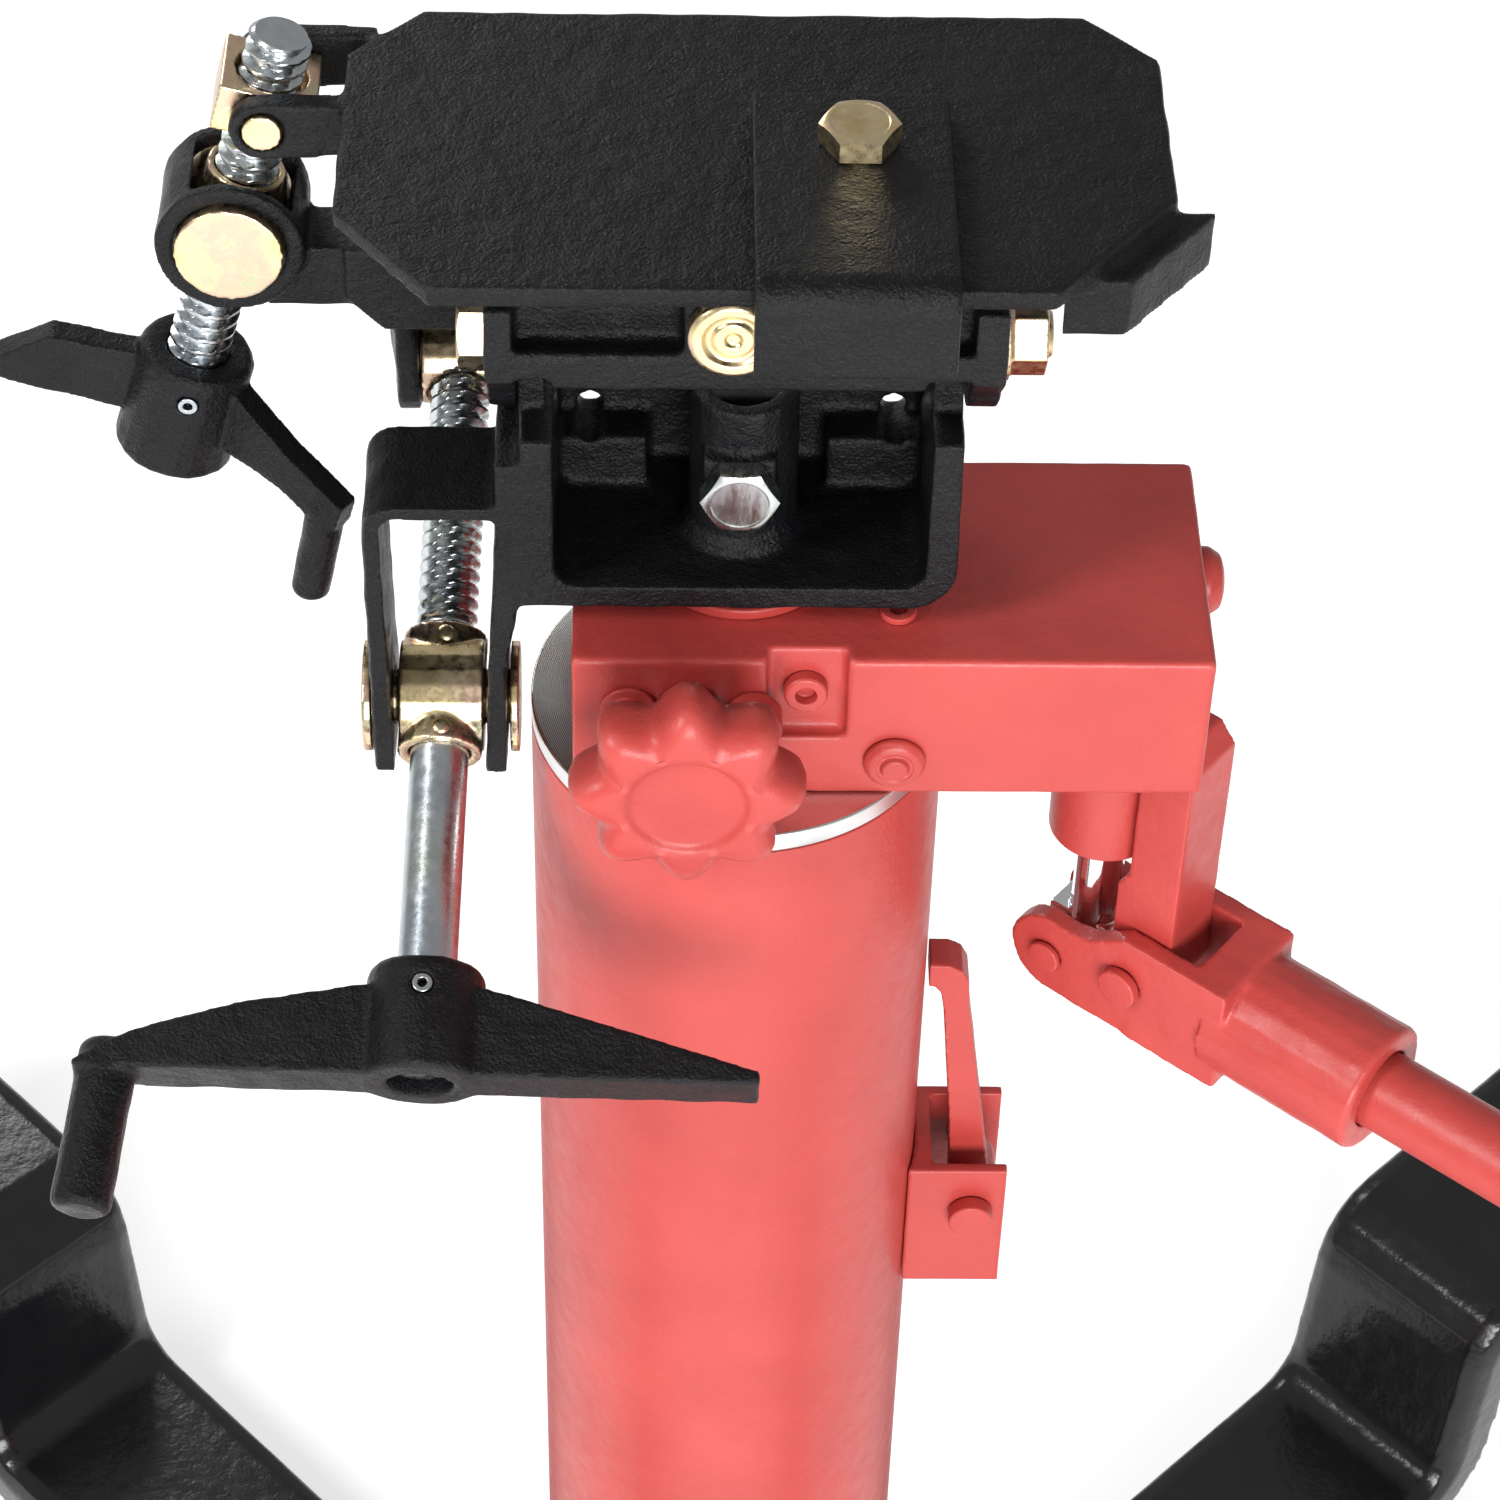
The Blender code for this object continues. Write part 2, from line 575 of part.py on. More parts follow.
# ======================================================================================
# Handle catch on the side of the reservoir
# ======================================================================================
def handle_catch():
    top = CAP_TOP - 176
    bottom = CAP_TOP - 226
    lift = TUBE_R + GAP
    hug = [(lift * math.cos(math.radians(t)), lift * math.sin(math.radians(t)))
           for t in (-17.7, -12, -6, 0, 6, 12, 17.7)]
    channel = [(80.5, -16.5)] + [(80.5, -13), (59, -13), (59, 13), (80.5, 13), (80.5, 16.5)]
    bracket = finish("catch_bracket", prism_mesh(channel + hug[::-1], bottom, top), "red")
    pin_at = Vector((70.5, 0, CAP_TOP - 193))
    bore = rod("catch_bore", 5.3, -30, 30, place=along(pin_at, (0, -1, 0)), segments=12)
    cut(bracket, bore)
    head = [(0, -17), (5, -17), (5, 16.8), (6.4, 16.8), (6.4, 21), (5.8, 21.6), (0, 21.6)]
    turned("catch_pin", head, "red", along(pin_at, (0, -1, 0)), segments=14)
    hinge = pin_at.z
    outline = [(64.6, hinge + 9), (63.6, hinge + 26), (59.6, hinge + 74), (58.4, hinge + 81),
               (56.6, hinge + 83.6), (54.9, hinge + 84), (54.9, hinge + 92.5),
               (60.4, hinge + 92.3), (64.2, hinge + 90), (66.2, hinge + 86), (66.8, hinge + 76),
               (73.4, hinge + 26)]
    outline += arc(70.5, hinge, 8.4, 50, -130, 8)
    lever = front_outline(outline, -5.5, 5.5, pin_at, "catch_lever", "red")
    eye = rod("catch_eye", 5.3, -12, 12, place=along(pin_at, (0, -1, 0)), segments=12)
    cut(lever, eye)


# ======================================================================================
# Head casting with its clevis
# ======================================================================================
def head_casting():
    top = HEAD_WALL_TOP
    low = HEAD_BOTTOM
    arm_low = CLEVIS_BOTTOM
    left_in, right_in = HEAD_INNER
    left_out, right_out = HEAD_OUTER
    clevis = [(-93.5, arm_low)] + arc(-85.5, CLEVIS_TOP - 8, 8, 180, 90, 4)
    clevis += [(-60.8, CLEVIS_TOP), (-60.8, CAP_TOP + 98.9), (left_out, CAP_TOP + 98.9)]
    clevis += [(left_out, top), (left_in, top)]
    clevis += arc(left_in + 5, low + 12, 5, 180, 270, 3)
    clevis += arc(right_in - 5, low + 12, 5, 270, 360, 3)
    clevis += [(right_in, top), (right_out, top)]
    clevis += arc(right_out - 12, low + 12, 12, 0, -90, 5)
    clevis += [(-55.5, low), (-58.8, CAP_TOP + 30), (-59.4, arm_low), (-65.2, arm_low),
               (-63.5, CAP_TOP + 30), (-60.7, CLEVIS_TOP - 4)]
    clevis += arc(-85, CLEVIS_TOP - 8, 4, 90, 180, 3) + [(-88, arm_low)]
    casting = front_outline(clevis, HEAD_FRONT, 5, name="head_casting", colour="black")

    trough = [(left_out + 0.2, top - 0.4), (left_out + 0.2, low + 0.4), (left_in, low + 0.1)]
    trough += arc(right_out - 12, low + 12, 11.9, -90, 0, 5)
    trough += [(right_out - 0.2, top - 0.4), (right_in + 0.2, top - 0.4)]
    trough += arc(right_in - 5, low + 12, 4.9, 0, -90, 3)
    trough += arc(left_in + 5, low + 12, 4.9, 270, 180, 3)
    trough += [(left_in - 0.2, top - 0.4)]
    rear = front_outline(trough, 0, HEAD_BACK, name="rear_trough")
    wall = box("back_wall", (-50, 48), (24, HEAD_BACK - 0.3), (low + 2, top - 8))
    boss = turned("ram_boss", [(0, low + 1), (15.4, low + 1), (15.4, low + 9.5),
                               (BOSS_R, low + 11), (BOSS_R, top - 2), (0, top - 2)])
    ledge_left = box("left_ledge", (-47.5, -24), (12, 25), (low + 3, low + 22))
    ledge_right = box("right_ledge", (21, 46), (12, 25), (low + 3, low + 22))
    join(casting, rear, wall, boss, ledge_left, ledge_right)
    for side, (left, right) in (("left", (-55, -48.4)), ("right", (45, 52.5))):
        lobe = [(13.5, top - 9), (13.5, TILT_AXIS_Z)] + arc(0, TILT_AXIS_Z, 13.5, 15, 165, 10)
        lobe += [(-13.5, TILT_AXIS_Z), (-13.5, top - 9)]
        join(casting, side_outline(lobe, left, right, name=side + "_lobe"))
    flat = box("bolt_flat", (-10.2, 7.8), (-16, -9), (HEAD_BOLT_Z - 8, HEAD_BOLT_Z + 8))
    join(casting, flat)
    across = (1, 0, 0)
    cut(casting,
        rod("spigot_bore", SPIGOT_R + 0.2, low - 5, top + 5),
        rod("tilt_bore", 6.3, -110, 90, place=along((0, 0, TILT_AXIS_Z), across), segments=14),
        rod("trunnion_bore", 7.3, -110, -40,
            place=along((0, TRUNNION_1.y, TRUNNION_1.z), across), segments=14),
        rod("bolt_bore", 5.3, 4, 30, place=along((HEAD_BOLT_X, 0, HEAD_BOLT_Z), (0, -1, 0)),
            segments=12),
        rod("left_drain", 3.2, -40, 0, place=along((-38.5, 0, CAP_TOP + 76.5), (0, -1, 0)),
            segments=10),
        rod("right_drain", 3.2, -40, 0, place=along((38, 0, CAP_TOP + 76.5), (0, -1, 0)),
            segments=10))


def hex_fastener(name, place, across_flats, thickness, shank_r, shank, colour, pivot=(0, 0, 0)):
    """Hex head from local Z = 0 to thickness, with its shank below."""
    head = finish(name, prism_mesh(hexagon(across_flats), 0, thickness), colour, place, pivot)
    join(head, rod(name + "_shank", shank_r, -shank, thickness / 2, place=place, segments=14))
    return head


def head_fasteners():
    hex_fastener("head_bolt", along((HEAD_BOLT_X, -16 - GAP, HEAD_BOLT_Z), (0, -1, 0), (1, 0, 0)),
                 17, 6.4, 5, 16 - SPIGOT_R - GAP, "zinc")
    hex_fastener("pivot_bolt", along((EAR_LEFT[0] - GAP, 0, TILT_AXIS_Z), (-1, 0, 0), (0, 1, 0)),
                 18, 7.3, 6, 136, "gold")
    place = along((EAR_RIGHT[1] + GAP, 0, TILT_AXIS_Z), (1, 0, 0), (0, 1, 0))
    nut = finish("pivot_nut", prism_mesh(hexagon(18), 1, 11), "gold", place)
    join(nut, rod("nut_flange", 11.5, 0, 2, place=place, segments=16))
    cut(nut, rod("nut_bore", 6.3, -5, 15, place=place, segments=14))


# ======================================================================================
# Tilt frame, its pivots and the bracket of the long screw's nut
# ======================================================================================
def screw_1_axis():
    """Unit vector from the crank end up to the nut end."""
    level = math.cos(SCREW_1_TOE)
    return Vector((math.sin(SCREW_1_TOE), level * math.sin(SCREW_1_LEAN),
                   level * math.cos(SCREW_1_LEAN)))


def screw_2_axis():
    return Vector((math.sin(SCREW_2_LEAN), 0, math.cos(SCREW_2_LEAN)))


def nut_1_centre():
    return TRUNNION_1 + screw_1_axis() * NUT_1_REACH


def nut_2_centre():
    return RING_2 + screw_2_axis() * NUT_2_REACH


def tilt_frame():
    nut = nut_1_centre()
    lobe_r = 18.5
    top = FRAME_TOP
    crank_plate = [(-28, top), (-28, TILT_AXIS_Z + 6)]
    crank_plate += arc(0, TILT_AXIS_Z, lobe_r, 195, 300, 7)
    crank_plate += [(nut.y - 20, nut.z - 4)] + arc(nut.y, nut.z, 15, 225, 360, 7)
    crank_plate += [(nut.y + 15, CAP_TOP + 117.5), (34, CAP_TOP + 130), (28, top)]
    frame = side_outline(crank_plate, *EAR_LEFT, (0, 0, TILT_AXIS_Z), "tilt_frame", "black")
    ear = [(28, top), (-28, top), (-28, TILT_AXIS_Z + 6)]
    ear += arc(0, TILT_AXIS_Z, lobe_r - 0.5, 195, 345, 10) + [(28, TILT_AXIS_Z + 6)]
    right_ear = side_outline(ear, *EAR_RIGHT, name="right_ear")
    x_low, x_high = -46.6, 42.3
    far_left, far_right = EAR_LEFT[0] + 0.4, EAR_RIGHT[1] - 0.4
    shoulder = CAP_TOP + 126
    cross = [(far_left, shoulder), (x_low, shoulder), (x_low, CAP_TOP + 123),
             (x_high, CAP_TOP + 123), (x_high, shoulder), (far_right, shoulder),
             (far_right, top - 0.3), (13, top - 0.3), (13, CAP_TOP + 150),
             (-17, CAP_TOP + 150), (-17, top - 0.3), (far_left, top - 0.3)]
    front = front_outline(cross, -27.8, -17.6, name="front_cross")
    back = front_outline(cross, 17.6, 27.8, name="back_cross")
    for bar, face in ((front, (-40, -20.5)), (back, (20.5, 40))):
        for side, xs in (("left", (-58.5, -15.5)), ("right", (12, 57))):
            cut(bar, box(bar.name + "_" + side + "_pocket", xs, face, (CAP_TOP + 134, top + 9)))
    web = front_outline([(-58, CAP_TOP + 116), (-99, CAP_TOP + 116), (-99, CAP_TOP + 100),
                         (-90, CAP_TOP + 91), (-58, CAP_TOP + 91)], 34, 42, name="web")
    roof = box("roof", (-98.2, -58), (36, nut.y + 14.6), (CAP_TOP + 108, CAP_TOP + 116.4))
    cheek = [(nut.y - 14.6, CAP_TOP + 112), (nut.y - 14.6, CAP_TOP + 60)]
    cheek += arc(nut.y, nut.z, 14.6, 180, 360, 10)
    cheek += [(nut.y + 14.4, CAP_TOP + 60), (nut.y + 14.4, CAP_TOP + 112)]
    left_cheek = side_outline(cheek, -90.3, -84.3, name="left_cheek")
    for vertex in left_cheek.data.vertices:
        if vertex.co.z > (CAP_TOP + 100) * MM:
            vertex.co.x -= 7.7 * MM
    arm = box("arm", (RING_2.x + 4, -90), (RING_2.y - 9, RING_2.y + 9),
              (CAP_TOP + 97, CAP_TOP + 115.5))
    ring_place = along(RING_2, (0, 1, 0))
    ring = rod("ring", 18.6, -14, 14, place=ring_place, segments=28)
    join(frame, right_ear, front, back, roof, web, left_cheek, arm, ring)
    across = (1, 0, 0)
    roll = (ROLL_AXIS[0], 0, ROLL_AXIS[1])
    screw_way = along(RING_2, screw_2_axis())
    slot = box("screw_2_way", (-12.5, 12.5), (-10.4, 10.4), (-40, 40), place=screw_way)
    cut(frame,
        rod("frame_tilt_bore", 6.3, -110, 90, place=along((0, 0, TILT_AXIS_Z), across),
            segments=14),
        rod("nut_1_bore", 6.3, -110, -40, place=along((0, nut.y, nut.z), across), segments=14),
        rod("roll_bore", 7.3, -60, 60, place=along(roll, (0, 1, 0)), segments=14),
        rod("ring_bore", 13.9, -40, 40, place=ring_place, segments=24), slot)


def pivots():
    roll = (ROLL_AXIS[0], 0, ROLL_AXIS[1])
    head = [(0, -31), (7, -31), (7, 28.1), (10.8, 28.1), (10.8, 31.4), (9.6, 32.4), (6, 32.4),
            (5.2, 31.6), (2.2, 31.6), (1.6, 32.2), (0, 32.2)]
    turned("roll_pin", head, "gold", along(roll, (0, -1, 0)), segments=16)

    nut = nut_1_centre()
    barrel = rod("tilt_nut", 13, -84, EAR_LEFT[0] - GAP, "gold",
                 along((0, nut.y, nut.z), (1, 0, 0)), nut)
    journal = rod("tilt_nut_journal", 6, -91, EAR_LEFT[1] + 0.3,
                  place=along((0, nut.y, nut.z), (1, 0, 0)), segments=14)
    way = rod("tilt_nut_way", SCREW_R + 1.2, -30, 30, place=along(nut, screw_1_axis()),
              segments=14)
    join(barrel, journal)
    cut(barrel, way)


def cross_barrel(name, centre, pin_axis, screw_axis, radius, half, sleeve_r):
    """Barrel on the pin axis with a bored sleeve across it, which carries a screw."""
    barrel = rod(name, radius, -half, half, "gold", along(centre, pin_axis), centre, 20)
    join(barrel, rod(name + "_sleeve", sleeve_r, -16.5, 16.5, place=along(centre, screw_axis)))
    return barrel


def trunnions():
    """The long screw's trunnion in the clevis, and the short one's in the frame's ring."""
    axis = screw_1_axis()
    across = (1, 0, 0)
    centre = (0, TRUNNION_1.y, TRUNNION_1.z)
    barrel = cross_barrel("tilt_trunnion", TRUNNION_1, across, axis, BARREL_R, 10.7, 10.9)
    join(barrel,
         rod("clevis_journal", 7, -95, -57.5, place=along(centre, across), segments=14),
         rod("clevis_disc_left", BARREL_R, -96.3, -93.8, place=along(centre, across), segments=20),
         rod("clevis_disc_right", BARREL_R, -58.5, -56.3, place=along(centre, across),
             segments=20))
    cut(barrel, rod("tilt_screw_way", SCREW_R + 0.25, -30, 30, place=along(TRUNNION_1, axis)))
    axis = screw_2_axis()
    barrel = cross_barrel("roll_trunnion", RING_2, (0, 1, 0), axis, 13.6, 16, 9.8)
    cut(barrel, rod("roll_screw_way", SCREW_R + 0.25, -30, 30, place=along(RING_2, axis)))


# ======================================================================================
# Screws and their cranks
# ======================================================================================
def screw(name, centre, axis, low, high, thread_low):
    """Rod with a plain lower part and a slightly larger threaded upper part."""
    profile = [(0, low), (SCREW_R - 0.4, low), (SCREW_R, low + 1), (SCREW_R, thread_low),
               (SCREW_R, high - 1.5), (SCREW_R - 1.5, high), (0, high)]
    turned(name, profile, "zinc", along(centre, axis, (1, 0, 0)), centre, 18)


def crank(name, centre, axis, face, hub, arms, peg, peg_turn, wing_turn, thick):
    """Cast crank: hub, arm with a grip peg, and a plain wing opposite.

    Local Z points down the screw, away from the trunnion.  face is how far the hub's
    outer end lies from the trunnion's centre.  arms holds the arm's and the wing's
    outline as (radius, height above the face).
    """
    place = along(centre, -axis, (1, 0, 0))
    hub_r, hub_length = hub
    start = face - hub_length
    body = turned(name, [(SCREW_R + 0.3, start), (hub_r - 2, start), (hub_r - 0.6, start + 2),
                         (hub_r, face - 1), (hub_r - 1, face), (SCREW_R + 0.3, face)],
                  "black", place, centre, 20)
    guides = []
    for label, turn, outline in (("arm", peg_turn, arms[0]), ("wing", wing_turn, arms[1])):
        swing = place @ Matrix.Rotation(math.radians(turn), 4, "Z")
        side = [(radius, face - height) for radius, height in outline]
        bm = prism_mesh(side, -thick / 2, thick / 2)
        lay = swing @ Matrix.Rotation(math.radians(90), 4, "X")
        guides.append(finish(name + "_" + label, bm, place=lay))
    radius, low, high, peg_r, splay = peg
    swing = place @ Matrix.Rotation(math.radians(peg_turn), 4, "Z")
    peg_place = swing @ Matrix.Translation((radius, 0, face)) @ Matrix.Rotation(
        math.radians(splay), 4, "Y")
    guides.append(turned(name + "_peg", [(0, low), (peg_r - 1.5, low), (peg_r, low + 2),
                                         (peg_r, high - 1.5), (peg_r - 1.5, high), (0, high)],
                         place=peg_place, segments=16))
    join(body, *guides)
    cross = place @ Matrix.Translation((0, 0, start + 8)) @ Matrix.Rotation(
        math.radians(90), 4, "Y")
    cut(body, rod(name + "_pin_bore", 2.7, -40, 40,
                  place=cross @ Matrix.Rotation(math.radians(90), 4, "X"), segments=10))


def cranks_and_screws():
    axis_1 = screw_1_axis()
    screw("tilt_screw", TRUNNION_1, axis_1, -CRANK_1_FACE + 4, 132, 18)
    inside = SCREW_R + 3
    arms_1 = ([(inside, 0.4), (inside, 24), (15, 24), (45, 18.5), (71, 10.5), (86, 2), (86, 0.4)],
              [(inside, 0.4), (inside, 24), (15, 24), (50, 14), (84, 4), (84, 0.4)])
    crank("tilt_crank", TRUNNION_1, axis_1, CRANK_1_FACE, (15.6, 30), arms_1,
          (78, -9, 35, 7.8, 5.5), 180, 0, 16)
    axis_2 = screw_2_axis()
    screw("roll_screw", RING_2, axis_2, -CRANK_2_FACE + 4, 57, 18)
    arms_2 = ([(inside, 10), (inside, 28), (15, 28), (33, 20), (52, 14), (52, 6), (44, 6), (33, 9)],
              [(inside, 10), (inside, 29), (37, 27.5), (50, 16), (50, 10)])
    crank("roll_crank", RING_2, axis_2, CRANK_2_FACE, (15.6, 33), arms_2,
          (47, -12, 20, 5.3, 4.5), 30, 182, 8)


# ======================================================================================
# Saddle
# ======================================================================================
def saddle():
    nut = nut_2_centre()
    pivot = (ROLL_AXIS[0], 0, ROLL_AXIS[1])
    outline = [(-73.7, -41), (70, -41), (100, -5), (100, 50), (82, 68), (-79, 68), (-97, 50),
               (-97, -12)]
    plate = finish("saddle_plate", prism_mesh(outline, PLATE_BOTTOM, PLATE_TOP), "black",
                   None, pivot)
    lug_outline = [(-16, PLATE_BOTTOM + 1), (-12.5, ROLL_AXIS[1])]
    lug_outline += arc(ROLL_AXIS[0], ROLL_AXIS[1], 11.5, 190, 350, 10)
    lug_outline += [(9, ROLL_AXIS[1]), (12, PLATE_BOTTOM + 1)]
    lug = front_outline(lug_outline, -16.5, 16.5, name="roll_lug")
    cheeks = []
    for label, near in (("front", nut.y - 17.5), ("rear", nut.y + 11.5)):
        side = [(-90, PLATE_TOP - 0.4), (-90, PLATE_BOTTOM - 9)]
        side += arc(nut.x, nut.z, 8.3, 270, 90, 6)
        cheeks.append(front_outline(side, near, near + 6, name=label + "_cheek"))
    corner = finish("corner_lug", prism_mesh([(71.5, -30), (87.5, -30), (110, -3), (94, -3)],
                                             PLATE_BOTTOM - 15.5, PLATE_BOTTOM + 0.4))
    join(plate, lug, *cheeks, corner)
    cut(plate, rod("roll_lug_bore", 7.3, -60, 60, place=along(pivot, (0, 1, 0)), segments=14),
        rod("nut_2_bore", 5.3, -40, 40, place=along(nut, (0, 1, 0)), segments=14))
    block = box("roll_nut", (-12, 12), (-11, 11), (-6.5, 6.5), "gold",
                along(nut, screw_2_axis(), (1, 0, 0)), nut)
    join(block, rod("roll_nut_journal", 5, -17.5, 17.5, place=along(nut, (0, 1, 0)),
                    segments=14))
    cut(block, rod("roll_nut_way", SCREW_R + 1.2, -30, 30, place=along(nut, screw_2_axis()),
                   segments=14))


def front_strap():
    """Bent strap that lies on the plate and turns down over its front edge."""
    low = PLATE_TOP + GAP
    thick = 5
    edge = -42.8
    drop = CAP_TOP + 144
    outline = [(28, low), (28, low + thick)]
    outline += arc(edge + 2, low - 2, thick + 2, 90, 180, 5)
    outline += [(edge - thick, drop), (edge, drop)] + arc(edge + 2, low - 2, 2, 180, 90, 4)
    strap = side_outline(outline, 0.5, 47.5, (ROLL_AXIS[0], 0, ROLL_AXIS[1]), "front_strap",
                         "black")
    bolt_at = (25.5, 8, low + thick + GAP)
    hex_fastener("strap_bolt", along(bolt_at, (0, 0, 1)), 17, 6.4, 5, thick - 1, "gold")
    cut(strap, rod("strap_bore", 5.3, -20, 20, place=along(bolt_at, (0, 0, 1)), segments=12))


def build():
    clear_scene()
    base_hub()
    for index in range(4):
        angle = math.radians(45 + BASE_TURN + 90 * index)
        leg(index + 1, angle)
        caster(index + 1, angle)
    column()
    pump_block()
    block_fittings()
    release_valve()
    pump()
    fulcrum_bracket()
    pump_lever()
    handle_catch()
    head_casting()
    head_fasteners()
    tilt_frame()
    pivots()
    trunnions()
    cranks_and_screws()
    saddle()
    front_strap()


build()
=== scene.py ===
"""Looks for the telescopic transmission jack: finer surfaces, finishes, studio and camera."""
import json
import math

import bmesh
import bpy
from mathutils import Matrix, Vector, noise


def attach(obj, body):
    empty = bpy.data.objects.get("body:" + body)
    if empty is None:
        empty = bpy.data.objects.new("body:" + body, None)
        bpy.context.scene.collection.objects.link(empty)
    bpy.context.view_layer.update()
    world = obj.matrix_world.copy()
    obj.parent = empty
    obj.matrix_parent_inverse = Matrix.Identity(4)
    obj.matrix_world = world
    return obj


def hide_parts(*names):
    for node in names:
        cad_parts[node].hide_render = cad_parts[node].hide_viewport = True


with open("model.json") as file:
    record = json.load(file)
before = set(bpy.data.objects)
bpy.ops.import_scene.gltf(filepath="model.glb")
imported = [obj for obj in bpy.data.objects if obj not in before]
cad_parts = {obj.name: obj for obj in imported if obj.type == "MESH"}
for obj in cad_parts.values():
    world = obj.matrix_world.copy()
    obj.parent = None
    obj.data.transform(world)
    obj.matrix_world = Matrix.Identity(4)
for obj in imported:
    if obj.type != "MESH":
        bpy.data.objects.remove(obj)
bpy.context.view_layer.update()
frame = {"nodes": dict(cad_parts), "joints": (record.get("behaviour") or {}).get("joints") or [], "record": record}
record = frame["record"]
BODY = {node: body for body, nodes in record["behaviour"]["bodies"].items() for node in nodes}
SLOT = {part["node"]: part["material_slot"] for part in record["subparts"]}
JOINT = {joint["name"]: joint for joint in frame["joints"]}

# lengths are in millimetres until a piece is made; MM turns them into metres
MM = 0.001
TINY = 1e-6                   # a shorter vector has no direction
AXIS_R = 0.01                 # a point nearer the axis than this is on it
GAP = 0.3                     # play between pieces that sit on each other
CAP = 716                     # top of the reservoir cap
BLOCK_TOP = CAP + 46.1
BLOCK_FRONT = -38.6
SEAT = 56.3                   # where the tube and the cylinder stand on the hub
TUBE_R = 54
RAM_HOLE_R = 20.4
PUMP_X = 99.5                 # the pump cylinder's axis
PIN_HALF = 16.8               # half the grip of the lever's and the catch's pins
OUT = (0, -1, 0)              # towards the operator
UP = (0, 0, 1)
RIGHT = (1, 0, 0)


# ======================================================================================
# Finishes: every one is a node material in object space, in metres
# ======================================================================================
NOISE_LOW, NOISE_HIGH = 0.3, 0.7      # most of a noise map's values lie between these


def shader_setup(name):
    """A new node material, its tree, its shader and its object coordinates."""
    material = bpy.data.materials.new(name)
    material.use_nodes = True
    tree = material.node_tree
    place = tree.nodes.new("ShaderNodeTexCoord").outputs["Object"]
    return material, tree, tree.nodes["Principled BSDF"], place


def noise_map(tree, place, scale, detail=3.0, rough=0.55, stretch=(1, 1, 1)):
    """Noise with scale features to the metre, drawn out along an axis by stretch."""
    mapping = tree.nodes.new("ShaderNodeMapping")
    mapping.inputs["Scale"].default_value = stretch
    tree.links.new(place, mapping.inputs["Vector"])
    node = tree.nodes.new("ShaderNodeTexNoise")
    node.inputs["Scale"].default_value = scale
    node.inputs["Detail"].default_value = detail
    node.inputs["Roughness"].default_value = rough
    tree.links.new(mapping.outputs["Vector"], node.inputs["Vector"])
    return node.outputs["Fac"]


def ramp(tree, value, stops):
    """Colour from a value, by (position, rgb) stops."""
    node = tree.nodes.new("ShaderNodeValToRGB")
    elements = node.color_ramp.elements
    while len(elements) < len(stops):
        elements.new(0.5)
    for element, (position, rgb) in zip(elements, stops):
        element.position = position
        element.color = (*rgb, 1)
    tree.links.new(value, node.inputs["Fac"])
    return node.outputs["Color"]


def spread(tree, value, low, high):
    """Stretch a noise value over low to high."""
    node = tree.nodes.new("ShaderNodeMapRange")
    node.inputs["From Min"].default_value = NOISE_LOW
    node.inputs["From Max"].default_value = NOISE_HIGH
    node.inputs["To Min"].default_value = low
    node.inputs["To Max"].default_value = high
    tree.links.new(value, node.inputs["Value"])
    return node.outputs["Result"]


def bump(tree, shader, layers):
    """Stack height layers, each (socket, distance in metres)."""
    last = None
    for height, distance in layers:
        node = tree.nodes.new("ShaderNodeBump")
        node.inputs["Strength"].default_value = 1.0
        node.inputs["Distance"].default_value = distance
        tree.links.new(height, node.inputs["Height"])
        if last is not None:
            tree.links.new(last, node.inputs["Normal"])
        last = node.outputs["Normal"]
    tree.links.new(last, shader.inputs["Normal"])


def painted_edge_highlight(tree, colour, bright, low, high):
    """Painted highlight: lighten convex edges towards a brighter colour, as if they caught the light."""
    point = tree.nodes.new("ShaderNodeNewGeometry").outputs["Pointiness"]
    mask = tree.nodes.new("ShaderNodeMapRange")
    mask.inputs["From Min"].default_value = low
    mask.inputs["From Max"].default_value = high
    tree.links.new(point, mask.inputs["Value"])
    mix = tree.nodes.new("ShaderNodeMix")
    mix.data_type = "RGBA"
    tree.links.new(mask.outputs["Result"], mix.inputs["Factor"])
    tree.links.new(colour, mix.inputs["A"])
    mix.inputs["B"].default_value = (*bright, 1)
    return mix.outputs["Result"]


def paint(name, dark, light, edge_highlight, rough, peel, grain, coat, gloss):
    """Sprayed paint: orange peel over the surface under it, with a painted highlight on convex edges."""
    material, tree, shader, place = shader_setup(name)
    broad = noise_map(tree, place, 28, 3)
    colour = ramp(tree, broad, [(NOISE_LOW, dark), (NOISE_HIGH, light)])
    # painted highlight: convex edges lightened towards the edge colour
    colour = painted_edge_highlight(tree, colour, edge_highlight, 0.53, 0.62)
    tree.links.new(colour, shader.inputs["Base Color"])
    tree.links.new(spread(tree, noise_map(tree, place, 160, 4), *rough),
                   shader.inputs["Roughness"])
    bump(tree, shader, [(noise_map(tree, place, 260, 2), peel),
                        (noise_map(tree, place, 1100, 3, 0.6), grain)])
    shader.inputs["Specular IOR Level"].default_value = gloss
    shader.inputs["Coat Weight"].default_value = coat
    shader.inputs["Coat Roughness"].default_value = 0.22
    return material


def plated(name, stops, rough, streak, grain=0.000012):
    """Bright plating: drifting tint, drawn streaks and a fine grain."""
    material, tree, shader, place = shader_setup(name)
    tree.links.new(ramp(tree, noise_map(tree, place, 55, 5, 0.6), stops),
                   shader.inputs["Base Color"])
    shader.inputs["Metallic"].default_value = 1.0
    tree.links.new(spread(tree, noise_map(tree, place, 420, 4, 0.6, streak), *rough),
                   shader.inputs["Roughness"])
    bump(tree, shader, [(noise_map(tree, place, 900, 4, 0.6, streak), grain)])
    return material


